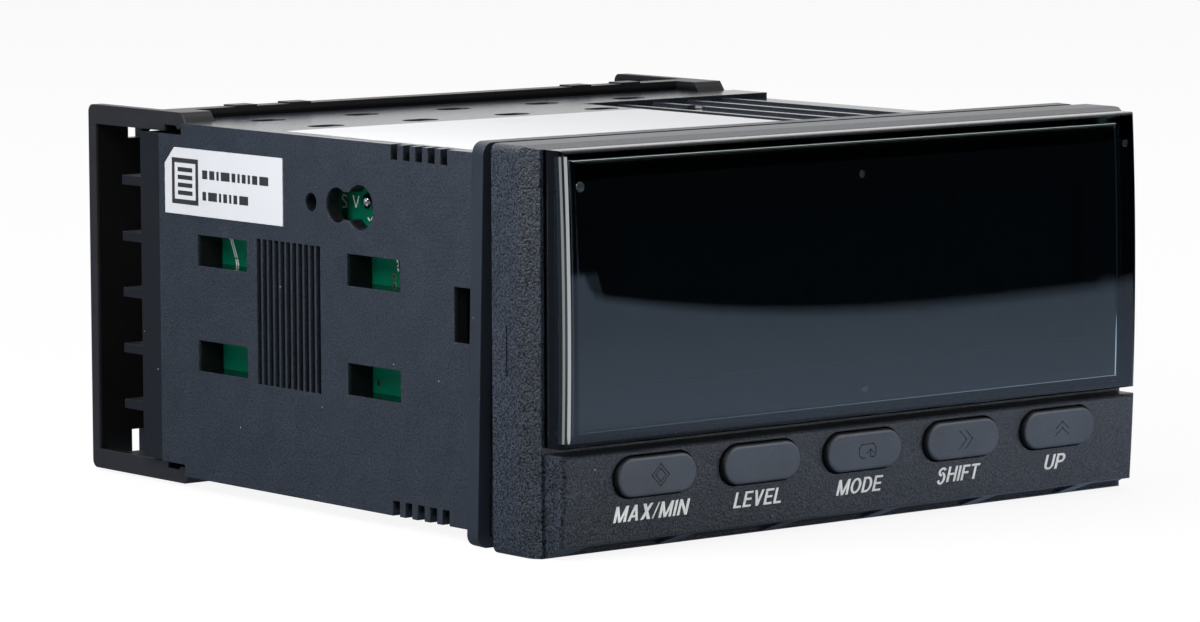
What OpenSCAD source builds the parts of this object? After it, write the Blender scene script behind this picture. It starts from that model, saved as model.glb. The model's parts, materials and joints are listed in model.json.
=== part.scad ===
// Digital panel meter, 1/8 DIN front (96 x 48 mm), for mounting in a panel cut-out.
// Frame: X to the right seen from the front, Y rearwards into the panel, Z up.
// Origin: centre of the bezel's rear face, which seats on the panel.

/* [Bezel] */
// Width of the bezel
bezel_w = 96; // [90:0.5:110]
// Height of the bezel
bezel_h = 48; // [44:0.5:54]
// Depth of the bezel's straight side, from the panel forwards
rim_depth = 4.9; // [4.5:0.1:7]
// Width of the bevel on the bezel's left and right edges
bevel_w = 1.55; // [1:0.05:1.8]
// Depth of that bevel
bevel_l = 2.3; // [1.8:0.1:2.6]
// Drop of the bezel's top face over the bevel
top_drop = 0.4; // [0.2:0.05:0.6]
// Radius of the bezel's corners, seen from the front
rim_corner_r = 0.9; // [0.4:0.1:1.4]
// Depth of the rebate in the bezel that holds the case's front edge
case_seat = 0.6; // [0.4:0.1:0.8]
// Thickness of the wall behind the key panel's face
panel_t = 2; // [1.6:0.1:2.3]
// Length of the marker bar on each side of the bezel
mark_len = 6.1; // [3:0.1:10]
// Width of that marker bar
mark_w = 0.7; // [0.4:0.1:1.2]
// Depth of that marker bar, cut into the side
mark_t = 0.15; // [0.1:0.02:0.3]

/* [Front face] */
// Distance of the front's crown from the panel
front_depth = 10.95; // [10.8:0.05:13]
// Radius of the front's curve from top to bottom
front_r = 355; // [250:5:450]
// Height of the crown above the centre line
crown_z = 1.9; // [0:0.1:4]
// Step from the bezel's side to the side of the window and the key panel
face_step = 2; // [1.8:0.1:2.6]
// Radius of the window's upright edges
window_edge_r = 1; // [0.5:0.1:1.2]
// Radius of the window's top and bottom edges
window_top_r = 0.7; // [0.4:0.1:0.9]
// Height of the gap between the window and the key panel
groove_h = 0.8; // [0.6:0.05:1.2]
// Height of the key panel from the bezel's bottom to the gap
key_panel_h = 12.2; // [12:0.1:12.6]
// Radius along the top of the key panel
panel_edge_r = 0.5; // [0.2:0.05:0.5]
// Setback of the key panel's face behind the window's
panel_setback = 0.1; // [0:0.05:0.4]
// Height of the chamfer along the bottom edge
chin_h = 1.5; // [1:0.1:2]
// Depth of the finger scoops in that chamfer
scoop_t = 0.45; // [0.2:0.05:0.7]
// Width of the slanted ribs between the scoops
scoop_rib = 1.3; // [0.8:0.1:2.5]

/* [Window and display] */
// Thickness of the window's front wall
window_t = 1.6; // [1.2:0.1:1.9]
// Thickness of the window's side walls
window_side_t = 2.3; // [2:0.1:2.6]
// Thickness of the window's top and bottom walls
window_top_t = 1.3; // [1.2:0.1:1.5]
// Thickness of the black mask behind the window
mask_t = 0.6; // [0.4:0.1:0.8]
// Space on each side of the glass display
lcd_side = 6; // [5:0.1:10]
// Height of the window that the glass display leaves free
lcd_free = 10.1; // [9.6:0.1:14]
// Thickness of the glass display
lcd_t = 2.2; // [1.8:0.1:2.4]
// Thickness of the light guide behind the display
guide_t = 2.4; // [1.8:0.1:2.4]
// Edge of the bright border round the shown area
mask_margin = 2.5; // [1:0.5:4]

/* [Keys] */
// Width of a key
key_w = 12; // [10:0.1:12.8]
// Height of a key
key_h = 4.7; // [4:0.1:5.2]
// Space from the middle of the outer keys to the side of the key panel
key_side = 13.7; // [12:0.1:16]
// Height of the keys' centres above the bezel's bottom
key_z = 9; // [8.4:0.05:9.2]
// How far a key stands proud of the key panel
key_proud = 0.8; // [0.7:0.05:1.2]
// Gap between a key and its opening
key_gap = 0.22; // [0.15:0.01:0.25]
// Travel of a key
key_travel = 0.5; // [0.3:0.05:0.6]
// Radius of the edge round a key's face
key_edge_r = 0.4; // [0.2:0.05:0.5]

/* [Case] */
// How far the bezel stands out on each side of the case
case_step = 2.5; // [2.2:0.1:3]
// How far the bezel stands out above and below the case
case_drop = 1.6; // [1.5:0.05:2]
// Length of the case behind the panel
case_l = 72; // [70:0.1:90]
// Thickness of the case's walls
case_t = 2; // [1.6:0.1:2.4]
// Length of a side window
slot_l = 10.7; // [8:0.1:12]
// Height of a side window
slot_h = 3.9; // [2.5:0.1:4.5]
// Height of the side windows' centres from the middle
slot_z = 6.65; // [5:0.05:8]
// Distance of the front windows from the panel
slot_front_y = 26.5; // [25:0.1:28]
// Distance of the rear windows from the panel
slot_rear_y = 58.2; // [57.5:0.1:60]
// Number of teeth in each side rack
rack_teeth = 11; // [6:1:12]
// Pitch of the rack teeth
rack_pitch = 1.25; // [1:0.05:1.4]
// Depth of the rack teeth
rack_t = 1.1; // [0.6:0.1:1.2]
// Height of the rack
rack_h = 18.1; // [14:0.1:20]
// Distance of the rack's middle from the panel
rack_y = 43.9; // [42.5:0.1:44.5]
// Width of a vent slot in the case's top and bottom
vent_w = 5; // [3:0.1:7]
// Length of a vent slot
vent_l = 3; // [2:0.1:4]
// Distance between neighbouring vent slots
vent_pitch = 14.7; // [10:0.1:15]

/* [Terminals] */
// Distance from the case's side to the outer column of terminals
column_side = 10.9; // [10:0.1:12]
// Distance from one column of a block to the other
column_pitch = 14.4; // [13:0.1:15]
// Depth of the terminal block behind the case
block_l = 4.6; // [3.5:0.1:6]
// Length of the ribs between terminals
rib_l = 4.2; // [3:0.1:5]
// Thickness of those ribs
rib_t = 1.2; // [0.8:0.1:1.5]
// Diameter of the terminal screws
screw_d = 3; // [2.5:0.1:3.5]

/* [Terminal cover] */
// Step from the case's side to the cover's side
cover_step = 1.1; // [0.8:0.1:1.6]
// How far the cover's rim stands out above and below the case
cover_rim = 1.2; // [0.9:0.05:1.4]
// Distance from the case's rear to the cover's rear face
cover_l = 17.6; // [16:0.1:24]
// Thickness of the cover's rim, at the top and bottom
cover_t = 2.5; // [2.3:0.05:2.6]
// Width of the raised rim at the front of the cover's top and bottom
lip_l = 2.6; // [2:0.1:4]
// Width of the raised rims at the ends of the cover's top and bottom
lip_w = 1.5; // [1:0.1:2]
// Thickness of the cover's rear wall
cover_rear_t = 1.6; // [1.3:0.1:2]
// Diameter of the screwdriver holes in the cover
access_d = 4.6; // [3.5:0.1:5]

/* [Gasket and labels] */
// Thickness of the rubber gasket
gasket_t = 2.1; // [1.5:0.1:3]
// Gap of the gasket's hole round the case
gasket_gap = 0.3; // [0.25:0.05:0.35]
// How far the bezel stands out at each side of the gasket
gasket_inset = 0.45; // [0.2:0.05:0.6]
// Lean of the loose gasket on the case
gasket_tilt = 1.8; // [0:0.1:2.6]
// Room for a panel between the bezel and the gasket
gasket_room = 2.05; // [2.05:0.05:3]
// Length of the label on top
top_label_l = 42; // [30:0.5:43]
// Length of the label on the left side
side_label_l = 25.5; // [20:0.1:26]
// Height of the label on the left side
side_label_h = 8.4; // [6:0.1:9]

/* [Hidden] */
$fn = 48;
eps = 0.01;
big = 300;

// Clearances
fit = 0.15;      // two mouldings that slide into each other
seat = 0.1;      // a face that rests on another
board_t = 1.6;

// Outer sizes that follow the bezel
case_w = bezel_w - 2 * case_step;
case_h = bezel_h - 2 * case_drop;
cover_w = case_w - 2 * cover_step;
cover_h = case_h + 2 * cover_rim;

// Front
face_y = rim_depth + bevel_l;                   // distance of the rim's front from the panel
face_w = bezel_w - 2 * face_step;
bottom_z = -bezel_h / 2;
panel_top_z = bottom_z + key_panel_h;
window_bot_z = panel_top_z + groove_h;
window_top_z = bezel_h / 2 - top_drop;
window_h = window_top_z - window_bot_z;
window_mid_z = (window_top_z + window_bot_z) / 2;
skirt_in_x = 1.3;                               // step from the window's side to its skirt
skirt_in_z = 0.9;
skirt_l = 2.6;
skirt_x = face_w / 2 - skirt_in_x;
skirt_t = 1;
panel_face_r = front_r - panel_setback;
panel_side_r = 0.7;                             // radius of the key panel's upright edges
panel_in_y = front_at(panel_top_z) - panel_setback - panel_t;

// Bezel's tongue inside the case
tongue_x = case_w / 2 - case_t - fit;
tongue_z = case_h / 2 - case_t - fit;
tongue_t = 1.2;
tongue_l = 5;
hollow_x = tongue_x - tongue_t;
hollow_z = tongue_z - tongue_t;
latch_y = [6.9, 10.5];
latch_z = [-0.3, 6.3];

// Display stack, from the mask back to the board
lcd_w = face_w - 2 * lcd_side;
lcd_h = window_h - lcd_free;
mask_front_r = front_r - window_t - fit;
lcd_y = front_at(window_top_z) - window_t - fit - mask_t - 0.1;
guide_y = lcd_y - lcd_t - seat;
board_y = guide_y - guide_t - seat;             // front face of the front board
lcd_z = hollow_z - 1.2 - lcd_h / 2;

// Keys and switches
key_pitch = (face_w - 2 * key_side) / 4;
key_zc = bottom_z + key_z;
flange_t = 0.8;
ear = 0.7;                                      // how far the flange reaches past the key's ends
key_plane = front_at(key_zc) - panel_setback;   // key panel's face at the keys
flange_front_y = panel_in_y - seat;
switch_body = 4.5;
plunger_d = 2.4;
plunger_l = 0.7;
key_back_y = flange_front_y - flange_t;
switch_top_y = key_back_y - key_travel - 0.2;
switch_body_y = switch_top_y - plunger_l;

// Case
in_x = case_w / 2 - case_t;
in_z = case_h / 2 - case_t;
slot_boss = 1.2;                                // collar round a side window, inside
side_board_x = in_x - 1.8;                      // outer face of the side boards
side_board_z = in_z - 0.75;
side_board_y = [tongue_l + 0.6, case_l - 6.6];
guide_rib = [0.55, 1.25];                       // thickness and height of a rib beside a board
guide_rib_y = 12;
guide_x = [side_board_x + seat, side_board_x - board_t - seat - guide_rib[0]];
notch_n = 5;
notch_pitch = 2.46;
notch_w = 1.35;
notch_y0 = 11.7;
notch_depth = [1.5, 1.85];
relief_t = 0.8;                                 // lowered strip on the right of the top
relief_x = [case_w * 0.15, case_w / 2];
relief_y = [7, case_l - 11.9];
ridge_pitch = 6;
ridge_w = 1;
vent_n = 5;
vent_x0 = 11.3 - case_w / 2;
vent_y = [case_l - 20.5, case_l - 8];
keyhole_y = [33.9, 29.2];
keyhole_r = [2.15, 2.75];
service_z = 14.35;
pin_hole_y = 39.2;
pin_hole_d = 2.3;

// Terminals
rows = 6;
term_margin = 0.8;
term_pitch = (case_h - 2 * term_margin) / rows;
term_z = [for (i = [0 : rows - 1]) (i - (rows - 1) / 2) * term_pitch];
column_x = [case_w / 2 - column_side, case_w / 2 - column_side - column_pitch];
block_x = [column_x[1] - 6.2, case_w / 2 - 0.3];
rear_opening_x = [block_x[0] - 0.6, in_x];
rear_slot_w = 1.4;
rear_slot_h = 24;
rear_slot_pitch = (rear_opening_x[0] - 3.8) / 3;
block_z = case_h / 2 - 1.6;
block_y = case_l + block_l;                     // plane the terminals sit on
rib_x = [column_x[1] - term_pitch / 2 - 1, block_x[1]];
wall_x = (column_x[0] + column_x[1]) / 2;
wall_z = (rows / 2 - 0.4) * term_pitch;
tail_t = 0.8;                                   // thickness of a plate's pin
plate_t = 0.8;
plate_w = term_pitch - rib_t - 0.3;
washer_t = 0.7;
washer_w = plate_w - 0.2;
screw_head_d = plate_w - 0.5;
plug_gap = 0.15;
pin_w = 1;
term_board_y = [case_l - 5.6, case_l - 4];

// Terminal cover
cover_y = [case_l + 0.3, case_l + cover_l];
cover_r = 1;
cover_middle = [2 * block_x[0] - 10, 0.76 * case_h];
cover_wall_z = case_h / 2 - 0.2;                // outer face of the walls between the rims
cover_in_z = cover_h / 2 - cover_t;
grip_x = [21.5, 30];                            // finger grips on the cover's front rims
grip_w = 3.4;
grip_t = 0.2;
corner_x = [cover_w / 2 - 7.2, cover_w / 2 - 5.05];  // slots in the corners of the rear wall
corner_z = cover_in_z - 2.1;
corner_l = 4.6;
hook_x = [cover_w / 2 - 4.6, cover_w / 2];
hook_y = case_l - 3.4;
hook_nose = 1.3;
hook_drop = 0.5;                                // how far a hook reaches below the case's top
hook_barb = 0.5;
hook_gap = 0.3;
pocket_t = hook_drop + hook_barb + 0.5;

// Colours
black_abs = [0.16, 0.18, 0.21];
cover_grey = [0.22, 0.21, 0.23];
key_grey = [0.27, 0.28, 0.31];
board_green = [0.02, 0.32, 0.2];
steel = [0.75, 0.75, 0.73];

// Distance from the panel to the front face at a height z
function front_at(z) = front_depth - front_r + sqrt(front_r * front_r - (z - crown_z) * (z - crown_z));

// A Y-Z outline pushed along X, centred
module along_x(len) {
    rotate([90, 0, 90]) linear_extrude(height = len, center = true) children();
}

// An X-Z outline pushed along Y from y0 to y1
module along_y(y0, y1) {
    translate([0, y1, 0]) rotate([90, 0, 0]) linear_extrude(height = y1 - y0) children();
}

// A box between two corners
module span(lo, hi) {
    translate(lo) cube(hi - lo);
}

module round_rect(w, h, r) {
    square([w - 2 * r, h], center = true);
    square([w, h - 2 * r], center = true);
    for (x = [-1, 1], z = [-1, 1])
        translate([x * (w / 2 - r), z * (h / 2 - r)]) circle(r = r);
}

module stadium(w, h) {
    square([w - h, h], center = true);
    for (x = [-1, 1]) translate([x * (w - h) / 2, 0]) circle(d = h);
}

module both_sides() {
    children();
    mirror([1, 0, 0]) children();
}

// The curved front: a drum turned about an axis along X, with rounded rims
module front_drum(r, w, edge) {
    translate([0, front_r - front_depth, crown_z]) rotate([0, 90, 0])
        rotate_extrude($fn = 720) {
            translate([r / 2, 0]) square([r, w - 2 * edge], center = true);
            translate([(r - edge) / 2, 0]) square([r - edge, w], center = true);
            for (s = [-1, 1]) translate([r - edge, s * (w / 2 - edge)]) circle(r = edge);
        }
}

// ---------- Front ----------

module bezel_rim() {
    difference() {
        rim_body();
        // marker bars in the sides
        both_sides() translate([bezel_w / 2, -rim_depth * 0.6, 0])
            cube([2 * mark_t, mark_w, mark_len], center = true);
    }
}

module rim_body() {
    intersection() {
        along_y(-face_y, 0) round_rect(bezel_w, bezel_h, rim_corner_r);
        linear_extrude(height = big, center = true) polygon([
            [-bezel_w / 2, 0], [-bezel_w / 2, -rim_depth],
            [-bezel_w / 2 + bevel_w, -face_y], [bezel_w / 2 - bevel_w, -face_y],
            [bezel_w / 2, -rim_depth], [bezel_w / 2, 0]]);
        along_x(big) polygon([
            [0, bottom_z], [0, bezel_h / 2], [-rim_depth, bezel_h / 2],
            [-face_y, window_top_z], [-face_y, bottom_z]]);
    }
}

chin_y = front_at(bottom_z + chin_h) - panel_setback;

panel_top_y = front_at(panel_top_z) - panel_setback;

module key_panel() {
    under_edge_z = panel_top_z - panel_edge_r;
    intersection() {
        front_drum(panel_face_r, face_w, panel_side_r);
        along_x(face_w) union() {
            polygon([
                [-face_y + 1, under_edge_z], [-front_depth - 1, under_edge_z],
                [-front_depth - 1, bottom_z + chin_h], [-chin_y, bottom_z + chin_h],
                [-face_y, bottom_z], [-face_y + 1, bottom_z]]);
            translate([panel_edge_r - panel_top_y, under_edge_z - panel_edge_r])
                square([panel_top_y - panel_edge_r - face_y + 1, 2 * panel_edge_r]);
            translate([panel_edge_r - panel_top_y, under_edge_z]) circle(r = panel_edge_r);
        }
    }
}

// Slanted finger scoops along the chamfer under the keys
module chin_scoops() {
    chin_len = sqrt(chin_h * chin_h + (chin_y - face_y) * (chin_y - face_y));
    lean = atan2(chin_y - face_y, chin_h);
    n = floor(face_w / key_pitch) + 1;
    half = key_pitch / 2;
    slant = 1.8;
    foot = -chin_len * 0.9;
    brow = -0.35;
    for (i = [0 : n - 1])
        translate([(i - (n - 1) / 2) * key_pitch + half / 2, -chin_y, bottom_z + chin_h])
            rotate([lean, 0, 0]) translate([0, scoop_t, 0]) rotate([90, 0, 0])
                linear_extrude(height = 2) polygon([
                    [scoop_rib - half, foot], [half - slant * 2 / 3, foot],
                    [half + slant / 3, brow], [scoop_rib - half + slant, brow]]);
}

// The tongue that slides into the case, with a sprung latch on each side
module bezel_tongue() {
    difference() {
        along_y(-1, tongue_l) round_rect(2 * tongue_x, 2 * tongue_z, 1);
        along_y(-2, tongue_l + 1) round_rect(2 * hollow_x, 2 * hollow_z, 0.6);
    }
    latch_gap = 0.3;
    both_sides() {
        span([hollow_x, tongue_l - 1, latch_z[0] + latch_gap],
             [tongue_x, latch_y[1] - latch_gap, latch_z[1] - latch_gap]);
        translate([tongue_x, 0, latch_z[0] + latch_gap])
            linear_extrude(height = latch_z[1] - latch_z[0] - 2 * latch_gap) polygon([
                [-eps, latch_y[0] + latch_gap], [case_t * 0.6, latch_y[0] + latch_gap],
                [case_t * 0.6, latch_y[0] + 1.3], [-eps, latch_y[1] - latch_gap]]);
    }
}

module front_bezel() {
    color(black_abs) difference() {
        union() {
            bezel_rim();
            key_panel();
            bezel_tongue();
        }
        // rebate for the case's front edge
        along_y(-case_seat, eps) difference() {
            square([case_w + 2 * fit, case_h + 2 * fit], center = true);
            round_rect(2 * tongue_x, 2 * tongue_z, 1);
        }
        // seat of the window's skirt
        translate([0, 0, window_mid_z])
            along_y(-face_y - 1, -face_y + skirt_l + seat)
                round_rect(2 * (skirt_x + fit), window_h - 2 * skirt_in_z + 2 * fit, 0.6);
        // room for the display, down to the rib above the keys
        span([-hollow_x, -face_y, window_bot_z + skirt_in_z],
             [hollow_x, tongue_l, hollow_z]);
        // room behind the key panel
        span([-hollow_x, -panel_in_y, -hollow_z],
             [hollow_x, tongue_l, panel_top_z - 0.3]);
        // room for the front board and the boards behind it
        span([-hollow_x, -board_y - seat, -hollow_z], [hollow_x, tongue_l, hollow_z]);
        key_openings();
        chin_scoops();
    }
}

module key_openings() {
    for (i = [-2 : 2]) translate([i * key_pitch, 0, key_zc])
        along_y(-front_depth - 1, 0) stadium(key_w + 2 * key_gap, key_h + 2 * key_gap);
}

// The smoked window: a shallow tray with a curved face and a skirt behind it
module display_window() {
    front_y = front_at(window_top_z - window_top_r);
    foot_y = front_at(window_bot_z + window_top_r);
    color([0.05, 0.06, 0.07, 0.8]) difference() {
        union() {
            intersection() {
                front_drum(front_r, face_w, window_edge_r);
                along_x(big) union() {
                    translate([-front_depth - 1, window_bot_z + window_top_r])
                        square([front_depth + 1 - face_y, window_h - 2 * window_top_r]);
                    translate([-front_y + window_top_r, window_mid_z])
                        square([front_y - window_top_r - face_y, window_h / 2]);
                    translate([-foot_y + window_top_r, window_bot_z])
                        square([foot_y - window_top_r - face_y, window_h / 2]);
                    translate([-front_y + window_top_r, window_top_z - window_top_r])
                        circle(r = window_top_r);
                    translate([-foot_y + window_top_r, window_bot_z + window_top_r])
                        circle(r = window_top_r);
                }
            }
            translate([0, 0, window_mid_z]) along_y(-face_y - 0.5, -face_y + skirt_l)
                round_rect(2 * skirt_x, window_h - 2 * skirt_in_z, 0.5);
        }
        // room for the mask
        intersection() {
            front_drum(front_r - window_t, big / 2, 1);
            span([-face_w / 2 + window_side_t, -front_depth, window_bot_z + window_top_t],
                 [face_w / 2 - window_side_t, -face_y, window_top_z - window_top_t]);
        }
        // room inside the skirt
        translate([0, 0, window_mid_z]) along_y(-face_y - 0.5, 0)
            square([2 * (skirt_x - skirt_t), window_h - 2 * (skirt_in_z + skirt_t)], center = true);
    }
}

// Curved black mask with an opening for the display
module display_mask() {
    gap = fit;
    color([0.03, 0.03, 0.03]) difference() {
        intersection() {
            front_drum(mask_front_r, big / 2, 1);
            span([-face_w / 2 + window_side_t + gap, -front_depth,
                  window_bot_z + window_top_t + gap],
                 [face_w / 2 - window_side_t - gap, -face_y + eps,
                  window_top_z - window_top_t - gap]);
        }
        front_drum(mask_front_r - mask_t, big / 2 + 2, 1);
        span([-lcd_w / 2 + mask_margin, -front_depth, lcd_z - lcd_h / 2 + mask_margin],
             [lcd_w / 2 - mask_margin, 0, lcd_z + lcd_h / 2 - mask_margin]);
    }
}

module lcd_panel() {
    color([0.08, 0.09, 0.1]) {
        span([-lcd_w / 2, -lcd_y, lcd_z - lcd_h / 2], [lcd_w / 2, -lcd_y + lcd_t / 2, lcd_z + lcd_h / 2]);
        // the rear glass reaches lower, with the contact edge
        span([-lcd_w / 2, -lcd_y + lcd_t / 2 - eps, lcd_z - lcd_h / 2 - 1],
             [lcd_w / 2, -lcd_y + lcd_t, lcd_z + lcd_h / 2]);
    }
}

module light_guide() {
    color([0.9, 0.92, 0.9]) difference() {
        span([-lcd_w / 2, -guide_y, lcd_z - lcd_h / 2], [lcd_w / 2, -guide_y + guide_t, lcd_z + lcd_h / 2]);
        // pockets for the lamps along the lower edge
        for (i = [-3 : 3])
            translate([i * lcd_w / 8, -guide_y + guide_t / 2 + 0.3, lcd_z - lcd_h / 2])
                cube([3.4, guide_t, 3], center = true);
    }
}

module front_board() {
    color(board_green) span([-hollow_x + 0.3, -board_y, -hollow_z + 0.3],
                            [hollow_x - 0.3, -board_y + board_t, hollow_z - 0.3]);
}

// One key: a cap with a rounded face, and a flange that holds it behind the panel
module key(i) {
    cap_y = key_plane + key_proud;
    color(key_grey) translate([i * key_pitch, 0, key_zc]) {
        difference() {
            along_y(-cap_y, -key_back_y) stadium(key_w, key_h);
            // lowered rim that gives the face its rounded edge
            along_y(-cap_y - 1, -cap_y + key_edge_r) difference() {
                square([key_w + 2, key_h + 2], center = true);
                stadium(key_w - 2 * key_edge_r, key_h - 2 * key_edge_r);
            }
        }
        for (s = [-1, 1]) translate([s * (key_w - key_h) / 2, -cap_y + key_edge_r, 0])
            rotate([90, 0, 0]) rotate_extrude() intersection() {
                translate([key_h / 2 - key_edge_r, 0]) circle(r = key_edge_r);
                translate([key_h / 2 - 2 * key_edge_r, 0]) square(2 * key_edge_r);
            }
        for (s = [-1, 1]) translate([0, -cap_y + key_edge_r, s * (key_h / 2 - key_edge_r)])
            rotate([0, 90, 0]) cylinder(r = key_edge_r, h = key_w - key_h, center = true);
        along_y(-flange_front_y, -key_back_y) round_rect(key_w + 2 * ear, key_h - 0.2, 1);
    }
}

module max_min_key() { key(-2); }
module level_key() { key(-1); }
module mode_key() { key(0); }
module shift_key() { key(1); }
module up_key() { key(2); }

module key_switches() {
    color([0.1, 0.1, 0.1]) for (i = [-2 : 2]) translate([i * key_pitch, 0, key_zc]) {
        span([-switch_body / 2, -switch_body_y, -switch_body / 2],
             [switch_body / 2, -board_y, switch_body / 2]);
        along_y(-switch_top_y, -switch_body_y + eps) circle(d = plunger_d);
    }
}

// ---------- Gasket ----------

// Loose rubber ring on the case, leaning back at the bottom
module panel_gasket() {
    gasket_h = bezel_h - 0.1;
    gasket_y = gasket_room + gasket_t / 2 + gasket_h / 2 * sin(gasket_tilt);
    color([0.13, 0.13, 0.14]) translate([0, gasket_y, 0]) rotate([gasket_tilt, 0, 0])
        along_y(-gasket_t / 2, gasket_t / 2) difference() {
            round_rect(bezel_w - 2 * gasket_inset, gasket_h, 1.4);
            round_rect(case_w + 2 * gasket_gap, case_h + 2 * gasket_gap, 0.4);
        }
}

// ---------- Case ----------

// Side windows, as boxes that start at the outer wall
module side_slots(depth, grow) {
    for (y = [slot_front_y, slot_rear_y], z = [-slot_z, slot_z])
        translate([case_w / 2 - depth / 2, y, z])
            cube([depth, slot_l + 2 * grow, slot_h + 2 * grow], center = true);
}

// Saw teeth for the mounting brackets
module rack() {
    translate([case_w / 2, rack_y - rack_teeth * rack_pitch / 2, -rack_h / 2])
        linear_extrude(height = rack_h) for (i = [0 : rack_teeth - 1])
            translate([0, i * rack_pitch]) polygon([
                [eps, rack_pitch * 0.3], [eps, rack_pitch], [-rack_t, rack_pitch],
                [-rack_t, rack_pitch * 0.6]]);
}

// Small open notches where the side meets the top
module edge_notches() {
    for (i = [0 : notch_n - 1], s = [-1, 1])
        translate([case_w / 2, notch_y0 + notch_w / 2 + i * notch_pitch, s * case_h / 2])
            cube([2 * notch_depth[0], notch_w, 2 * notch_depth[1]], center = true);
}

module vents() {
    for (i = [0 : vent_n - 1], y = vent_y)
        translate([vent_x0 + i * vent_pitch, y, 0]) {
            cube([vent_w - vent_l, vent_l, big], center = true);
            for (s = [-1, 1]) translate([s * (vent_w - vent_l) / 2, 0, 0])
                cylinder(d = vent_l, h = big, center = true);
        }
}

// Keyhole and pin hole on the left side
module service_holes() {
    hole_l = case_t + 2 * eps;
    translate([-case_w / 2 - eps, 0, service_z]) rotate([0, 90, 0]) {
        for (k = [0, 1]) translate([0, keyhole_y[k], 0]) cylinder(r = keyhole_r[k], h = hole_l);
        translate([-1.7, keyhole_y[1], 0]) cube([3.4, keyhole_y[0] - keyhole_y[1], hole_l]);
        translate([0, pin_hole_y, 0]) cylinder(d = pin_hole_d, h = hole_l);
    }
}

// Lowered strip with long ridges on the right of the top
module top_relief() {
    difference() {
        span([relief_x[0], relief_y[0], case_h / 2 - relief_t],
             [relief_x[1] + 1, relief_y[1], case_h / 2 + 1]);
        for (x = [relief_x[0] + ridge_pitch : ridge_pitch : relief_x[1] - 2])
            span([x, relief_y[0] - 1, case_h / 2 - relief_t - 1],
                 [x + ridge_w, relief_y[1] + 1, case_h / 2 - relief_t / 2]);
    }
}

// Pockets that the terminal cover's hooks drop into
module hook_pockets() {
    both_sides() for (s = [0, 1]) mirror([0, 0, s])
        span([hook_x[0] - hook_gap, hook_y - hook_nose - hook_gap, case_h / 2 - pocket_t],
             [case_w / 2 + 1, case_l + 1, case_h / 2 + 1]);
}

module rear_case() {
    color(black_abs) difference() {
        union() {
            difference() {
                span([-case_w / 2, -case_seat, -case_h / 2], [case_w / 2, case_l, case_h / 2]);
                span([-in_x, -case_seat - 1, -in_z], [in_x, case_l - case_t, in_z]);
            }
            // collars round the side windows, which steady the boards
            intersection() {
                both_sides() side_slots(case_w / 2 - side_board_x - seat, slot_boss);
                span([-in_x - eps, 0, -in_z], [in_x + eps, case_l, in_z]);
            }
            // grooves that the side boards slide in
            both_sides() for (s = [0, 1], x = guide_x) mirror([0, 0, s])
                span([x, guide_rib_y, in_z - guide_rib[1]],
                     [x + guide_rib[0], side_board_y[1], in_z + eps]);
        }
        both_sides() {
            side_slots(2 * case_t + 4, 0);
            rack();
            edge_notches();
            span([in_x - 1, latch_y[0], latch_z[0]], [case_w / 2 + 1, latch_y[1], latch_z[1]]);
            // rear opening for the terminal block
            span([rear_opening_x[0], case_l - case_t - 1, -in_z], [rear_opening_x[1], case_l + 1, in_z]);
        }
        service_holes();
        vents();
        top_relief();
        hook_pockets();
        // slots in the middle of the rear wall
        for (i = [-3 : 3]) translate([i * rear_slot_pitch, case_l - case_t / 2, 0])
            cube([rear_slot_w, case_t + 1, rear_slot_h], center = true);
    }
}

// ---------- Boards and what they carry ----------

module side_board(x0) {
    color(board_green)
        span([x0, side_board_y[0], -side_board_z], [x0 + board_t, side_board_y[1], side_board_z]);
}

module signal_board() { side_board(-side_board_x); }
module power_board() { side_board(side_board_x - board_t); }

module terminal_board() {
    color(board_green) span([-side_board_x + 0.4, term_board_y[0], -side_board_z],
                            [side_board_x - 0.4, term_board_y[1], side_board_z]);
}

header_l = 4;                                   // how far header pins run along a side board
front_pins_y = side_board_y[0] + header_l;      // end of the front headers' pins
rear_pins_y = side_board_y[1] - header_l;       // start of the rear headers' pins
fuse_d = 5;
fuse_l = 16;
fuse_y = front_pins_y + seat;                   // front end of the fuse
signal_x = -side_board_x + board_t + seat;      // where parts sit on the signal board
power_x = side_board_x - board_t - seat;        // where parts sit on the power board

// Flat chip with legs on all four sides
module chip(size, y, z) {
    legs = 8;
    leg_pitch = size * 0.8 / legs;
    leg = [0.6, 1, 0.4];
    body_t = 1.5;
    translate([signal_x, y, z]) {
        color([0.08, 0.08, 0.08])
            translate([0.2 + body_t / 2, 0, 0]) cube([body_t, size, size], center = true);
        // legs, which reach into the body and stand on the board
        color(steel) for (a = [0 : 90 : 270], i = [0 : legs - 1])
            rotate([a, 0, 0])
                translate([leg[0] / 2, size / 2 + leg[1] * 0.4, (i - (legs - 1) / 2) * leg_pitch])
                    cube(leg, center = true);
    }
}

processor_w = 14;
converter_w = 9;
converter_rear = 22;                            // from the converter chip to the case's rear end
module processor_chip() { chip(processor_w, 0.36 * case_l, 0.1 * side_board_z); }
module converter_chip() { chip(converter_w, case_l - converter_rear, -0.3 * side_board_z); }

core = [12, 20, 1.2 * side_board_z];            // X, Y and Z of the transformer's core
core_leg = 7;                                   // height of its middle leg
core_rim = 4;                                   // width of its outer legs
coil_t = 4;                                     // thickness of the winding
coil_gap = 0.2;
core_at = [power_x - coil_t - core[0] / 2, 0.54 * case_l, 0.36 * side_board_z];
core_window = [core[1] - 2 * core_rim, (core[2] - 2 * core_rim - core_leg) / 2];

module transformer_core() {
    color([0.2, 0.2, 0.22]) translate(core_at) difference() {
        cube(core, center = true);
        for (s = [-1, 1]) translate([0, 0, s * (core_leg + core_window[1]) / 2])
            cube([core[0] + 1, core_window[0], core_window[1]], center = true);
    }
}

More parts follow.
